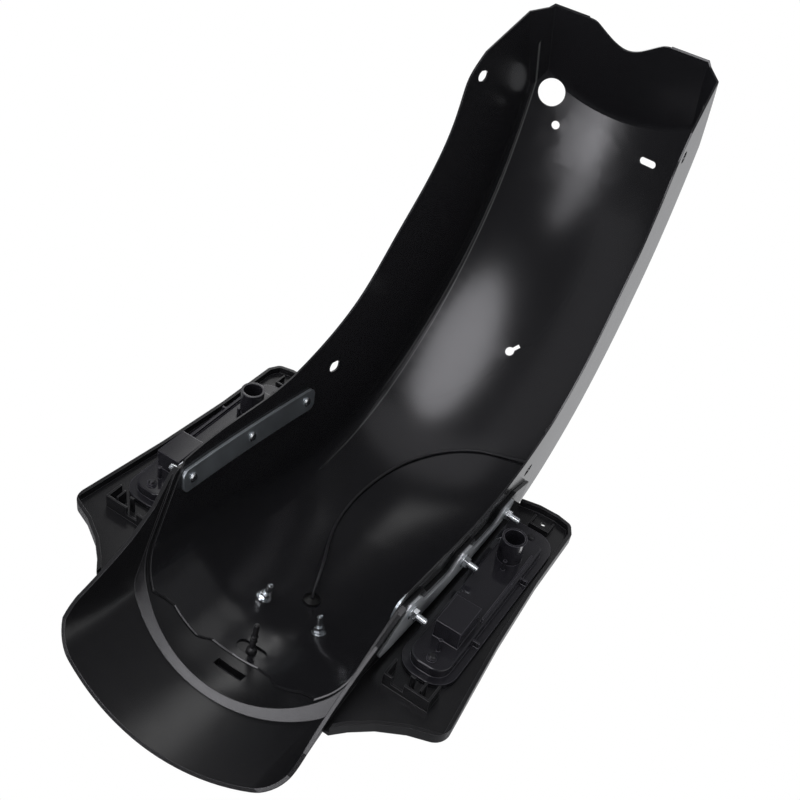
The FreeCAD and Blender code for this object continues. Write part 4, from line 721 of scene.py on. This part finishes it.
lens_red, tree, output = new_material("red_lens")
skin = place(
    tree, "ShaderNodeBsdfPrincipled", Base_Color=(0.55, 0.01, 0.012, 1),
    Transmission_Weight=0.8, IOR=1.49, Coat_Weight=0.3, Coat_Roughness=0.03,
)
texture = use_group(tree, grain_group, Fine_Scale=900.0, Ripple_Scale=40.0, Ripple_Share=0.8)
here = tree.nodes.new("ShaderNodeTexCoord")
rows = place(tree, "ShaderNodeTexWave", Scale=PRISM_SCALE, Distortion=0.0)
steps = place(
    tree, "ShaderNodeTexWave", bands_direction="Z", Scale=PRISM_SCALE, Distortion=0.0
)
relief = place(tree, "ShaderNodeBump", Strength=0.8, Distance=PRISM_DEPTH)
join(
    tree,
    (here.outputs["Object"], rows.inputs["Vector"]),
    (here.outputs["Object"], steps.inputs["Vector"]),
    (calc(tree, "MULTIPLY", rows.outputs["Fac"], steps.outputs["Fac"]), relief.inputs["Height"]),
    (
        spread_over(tree, texture.outputs["Mottle"], LENS_SMOOTHEST, LENS_ROUGHEST),
        skin.inputs["Roughness"],
    ),
    (relief.outputs["Normal"], skin.inputs["Normal"]),
    (skin.outputs[0], output.inputs["Surface"]),
)
print("finish", lens_red.name)

# %% [markdown]
# ## Give each node its finish
#
# Every solid needs a finish of its own kind. The names of the nodes say what the
# pieces are, and a right and a left piece share one, so a table by name is
# enough and reads like the order sheet of the paint shop.

# %% Dress the nodes
FINISH = {
    "fender_shell": shell_coat, "rear_fascia": fascia_moulding, "stud_bar": bar_zinc,
    "side_bracket": bracket_zinc, "lamp_housing": smoke, "lamp_seal": seal_rubber,
    "lamp_lens": lens_red, "lamp_board": board_green, "lamp_screws": screw_dark,
    "bar_studs": nut_zinc, "flange_nuts": nut_zinc, "fascia_washers": nut_zinc,
    "fascia_nuts": nut_zinc, "fascia_studs": nut_zinc, "grommet": grommet_rubber,
    "push_fastener": nylon, "wiring_cable": jacket, "cable_connector": nylon,
}
for name, node in nodes.items():
    plain = name.replace("_right", "").replace("_left", "")
    node.data.materials.clear()
    node.data.materials.append(FINISH[plain])
print("dressed", len(nodes), "nodes with", len(set(FINISH.values())), "finishes")

# %% [markdown]
# ## The cable
#
# The cable leaves the grommet, swings out along the crown and runs over to the
# left wall, where it ends in a small connector. A tube of straight runs would
# look like bent wire. So it is one smooth curve whose control points are the
# corners of its route.

# %% Lay the cable
CABLE_ROUTE = [
    (0.0, -0.17891, -0.05242), (0.0, -0.1646, -0.06002), (0.00544, -0.14962, -0.05174),
    (0.01393, -0.14223, -0.03382), (0.0257, -0.13745, -0.00941), (0.03612, -0.12444, 0.0146),
    (0.04013, -0.10367, 0.03768), (0.03769, -0.08262, 0.05907), (0.02929, -0.0599, 0.07904),
    (0.01391, -0.04058, 0.09343), (-0.00497, -0.02526, 0.10242), (-0.02584, -0.01455, 0.10648),
    (-0.0477, -0.00878, 0.10603), (-0.08397, 0.00049, 0.09736), (-0.08793, 0.01396, 0.07497),
    (-0.09077, 0.02756, 0.05356),
]
CABLE_RADIUS = 0.0012
line = bpy.data.curves.new("lamp_cable", "CURVE")
line.dimensions = "3D"
line.bevel_depth = CABLE_RADIUS
line.bevel_resolution = 5
line.resolution_u = 12
line.use_fill_caps = True
run = line.splines.new("NURBS")
run.points.add(len(CABLE_ROUTE) - 1)
for point, at in zip(run.points, CABLE_ROUTE):
    point.co = (*at, 1.0)
run.order_u = 3
run.use_endpoint_u = True
cable = bpy.data.objects.new("lamp_cable", line)
scene.collection.objects.link(cable)
cable.data.materials.append(jacket)
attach(cable, "root")
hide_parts("wiring_cable")
print("cable points", len(CABLE_ROUTE), "smooth length", round(run.calc_length(), 4))

# %% [markdown]
# ## Pieces that sit on the nodes
#
# The small pieces that are still missing sit on rods and boards that stand at
# an angle. Their places could be typed in, but they would be wrong as soon as
# the model changes. So each takes its place from the node that carries it. A
# rod's own mesh tells where its axis lies: it is the direction in which its
# points spread most. The same rule finds the plane of a light board, whose
# thickness is the direction in which its points spread least.

# %% Helpers for the added pieces
def points_of(node):
    return [node.matrix_world @ vertex.co for vertex in node.data.vertices]


def spread_axes(points):
    # middle of the points and their directions, the longest spread first
    cloud = numpy.array([tuple(p) for p in points])
    middle = cloud.mean(axis=0)
    turns = numpy.linalg.svd(cloud - middle, full_matrices=False)[2]
    return Vector(middle), [Vector(one) for one in turns]


print("points of a light board", len(points_of(nodes["lamp_board_left"])))

# %% [markdown]
# ### Threads
#
# The studs are threaded over the length that the nut needs and beyond. The
# solids are plain rods. A bump could draw the turns, but the outline of a thread
# shows against the pale zinc, so each gets real ridges: a fine helix, wound
# round the free end of the rod and sunk slightly into it.
#
# First the rods of one node are told apart by the distance between their
# points. On the side bars, whose rods run outwards, only the distance along the
# wall counts. This plain test has a weak spot: the two rods of the crown have
# points only at their ends, which lie further apart than the gap. So it finds
# four there, and each end gets a short coil that lies crosswise, where a thread
# should be. Measuring the distance across the axis of the rods would mend it.

# %% Tell the rods apart
# points nearer to each other than this belong to one rod
ROD_GAP = 0.011


def rods_of(node, run_out):
    # the points of a node, gathered into rods; run_out leaves the distance across out
    found = []
    for at in points_of(node):
        key = Vector((0.0 if run_out else at.x, at.y, at.z))
        for first, rod in found:
            if (first - key).length < ROD_GAP:
                rod.append(at)
                break
        else:
            found.append((key, [at]))
    return [rod for first, rod in found]


print("rods found on the crown", len(rods_of(nodes["fascia_studs"], False)))

# %% [markdown]
# The ridge of a thread has three edges: a crest between two feet that lie just
# under the rod's surface. The helper steps them round the axis, twenty times a
# turn, and joins each step to the last with two faces.

# %% A helper that winds one thread
# the rise of one turn, the height of the crest and the depth of the feet
THREAD_PITCH = 0.001
THREAD_RAISE = 0.00022
THREAD_SINK = 0.00005
# half the ridge's width as a share of the rise, and the steps of one turn
THREAD_FLANK = 0.42
THREAD_SIDES = 20


def wind(built, foot, tip, radius):
    axis = (tip - foot).normalized()
    aside = axis.orthogonal().normalized()
    other = axis.cross(aside)
    count = int((tip - foot).length / THREAD_PITCH * THREAD_SIDES)
    flank = axis * THREAD_PITCH * THREAD_FLANK
    last = None
    for i in range(count):
        angle = 2 * math.pi * i / THREAD_SIDES
        out = aside * math.cos(angle) + other * math.sin(angle)
        up = foot + axis * (THREAD_PITCH * i / THREAD_SIDES)
        root = up + out * (radius - THREAD_SINK)
        crest = up + out * (radius + THREAD_RAISE)
        row = [built.verts.new(at) for at in (root - flank, crest, root + flank)]
        if last:
            built.faces.new((last[0], row[0], row[1], last[1]))
            built.faces.new((last[1], row[1], row[2], last[2]))
        last = row


print("a thread rises", THREAD_PITCH * 1000, "mm a turn")

# %% [markdown]
# The direction in which the points spread says where the axis of a rod lies,
# but not which end is free. On the crown the free ends point to the wheel, and
# on the side walls they point outwards.

# %% Find the free end
def inwards(at):
    # from a point of the crown to the wheel's axis
    return Vector((0, WHEEL_Y - at.y, WHEEL_Z - at.z))


def outwards(at):
    # from the middle plane to a point of a side wall
    return Vector((at.x, 0, 0))


def facing_to(axis, direction):
    # the axis, turned round if it points away from the direction
    return axis if axis.dot(direction) > 0 else -axis


print("the wheel's axis is at", (0, WHEEL_Y, WHEEL_Z))

# %% [markdown]
# Every added piece goes the same way into the scene: its mesh is built in
# memory, gets its material and is told which body it rides on. One helper does
# this, so that nothing is forgotten for a piece.

# %% A helper that adds a piece
def add_piece(name, mesh_maker, material, slot_name):
    built = bmesh.new()
    mesh_maker(built)
    mesh = bpy.data.meshes.new(name)
    built.to_mesh(mesh)
    built.free()
    piece = bpy.data.objects.new(name, mesh)
    scene.collection.objects.link(piece)
    mesh.materials.append(material)
    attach(piece, "root")
    print(name, "faces", len(mesh.polygons))


print("helper", add_piece.__name__)

# %% [markdown]
# A thread starts part of the way up the rod and ends just short of its tip. The
# radius is read from the rod's own tip, so that the ridges lie on it whatever
# its size.

# %% Thread the studs
# the radius is read over the first length from the tip, and the second is bare
TIP_DEPTH = 0.0008
TIP_BARE = 0.0012
# the threaded share of each rod
CROWN_SHARE, BAR_SHARE = 0.55, 0.62


def threads_of(names, free_way, share, run_out=False):
    # one mesh for the threads of several nodes
    def make(built):
        for name in names:
            for points in rods_of(nodes[name], run_out):
                middle, axes = spread_axes(points)
                axis = facing_to(axes[0], free_way(middle))
                along = [(p - middle).dot(axis) for p in points]
                low, high = min(along), max(along)
                ends = [p for p, t in zip(points, along) if t > high - TIP_DEPTH]
                radius = max(((p - middle) - axis * (p - middle).dot(axis)).length for p in ends)
                foot = middle + axis * (high - (high - low) * share)
                wind(built, foot, middle + axis * (high - TIP_BARE), radius)
    return make


add_piece(
    "crown_stud_threads", threads_of(["fascia_studs"], inwards, CROWN_SHARE),
    nut_zinc, "zinc_steel",
)
add_piece(
    "bar_stud_threads",
    threads_of(["bar_studs_right", "bar_studs_left"], outwards, BAR_SHARE, run_out=True),
    nut_zinc, "zinc_steel",
)

# %% [markdown]
# ### The sleeve of the push fastener
#
# The push fastener is a nylon pin that the fascia pushes through the shell. The
# solid has its barbs. A smooth, slightly tapered sleeve with a collar at mid
# height makes it the turned pin that the photograph shows. Both are cones along
# the solid's own axis, which is all that such a plain form needs.

# %% Add the sleeve
# the radius at the far end as a share of the near one, and the sides of a cone
PIN_TAPER = 0.94
PIN_SIDES = 32
# along the axis from the middle: start and end, or start and the gap to the tip
PIN_RADIUS, PIN_FROM, PIN_END_GAP = 0.0023, -0.006, 0.0008
COLLAR_RADIUS, COLLAR_FROM, COLLAR_TO = 0.0029, 0.0005, 0.0024


def sleeve_with_collar(built):
    points = points_of(nodes["push_fastener"])
    middle, axes = spread_axes(points)
    axis = facing_to(axes[0], inwards(middle))
    high = max((p - middle).dot(axis) for p in points)
    turn = axis.to_track_quat("Z", "Y").to_matrix().to_4x4()
    sleeve = (PIN_RADIUS, PIN_FROM, high - PIN_END_GAP)
    collar = (COLLAR_RADIUS, COLLAR_FROM, COLLAR_TO)
    for radius, near, far in (sleeve, collar):
        bmesh.ops.create_cone(
            built, cap_ends=True, segments=PIN_SIDES, radius1=radius, radius2=radius * PIN_TAPER,
            depth=far - near, matrix=Matrix.Translation(middle + axis * (near + far) / 2) @ turn,
        )


add_piece("push_fastener_pin", sleeve_with_collar, nylon, "black_nylon")

# %% [markdown]
# ### The light chips
#
# Behind each lens lies a green board with three rows of small yellow chips.
# They could be spots of colour, but a lens bends what lies behind it, and only
# real chips stand off the board and catch light at their sides. They are laid
# out from the board's own middle along its own directions.

# %% Place the chips
CHIP_COLUMNS, CHIP_ROWS = 8, 3
# the chips that would fit between middle and end, and the place of the outer rows
CHIPS_TO_END = 4.2
ROW_SHARE = 0.62
# the size of a chip, and the height of its middle over the board
CHIP_LONG, CHIP_WIDE, CHIP_THICK = 0.0032, 0.0028, 0.0007
CHIP_LIFT = 0.00036


def chips_on_boards(built):
    for side in ("right", "left"):
        lens_middle = spread_axes(points_of(nodes["lamp_lens_" + side]))[0]
        points = points_of(nodes["lamp_board_" + side])
        middle, (long_way, wide_way, thin_way) = spread_axes(points)
        thin_way = facing_to(thin_way, lens_middle - middle)
        half_long, half_wide, thick = (
            max((p - middle).dot(way) for p in points) for way in (long_way, wide_way, thin_way)
        )
        turn = Matrix(
            (long_way * CHIP_LONG, wide_way * CHIP_WIDE, thin_way * CHIP_THICK)
        ).transposed().to_4x4()
        for i in range(CHIP_COLUMNS):
            column = long_way * half_long * (i - (CHIP_COLUMNS - 1) / 2) / CHIPS_TO_END
            for j in range(CHIP_ROWS):
                row = wide_way * half_wide * (j - 1) * ROW_SHARE
                at = middle + column + row + thin_way * (thick + CHIP_LIFT)
                bmesh.ops.create_cube(built, size=1.0, matrix=Matrix.Translation(at) @ turn)


add_piece("light_chips", chips_on_boards, chip_yellow, "board_sheet")
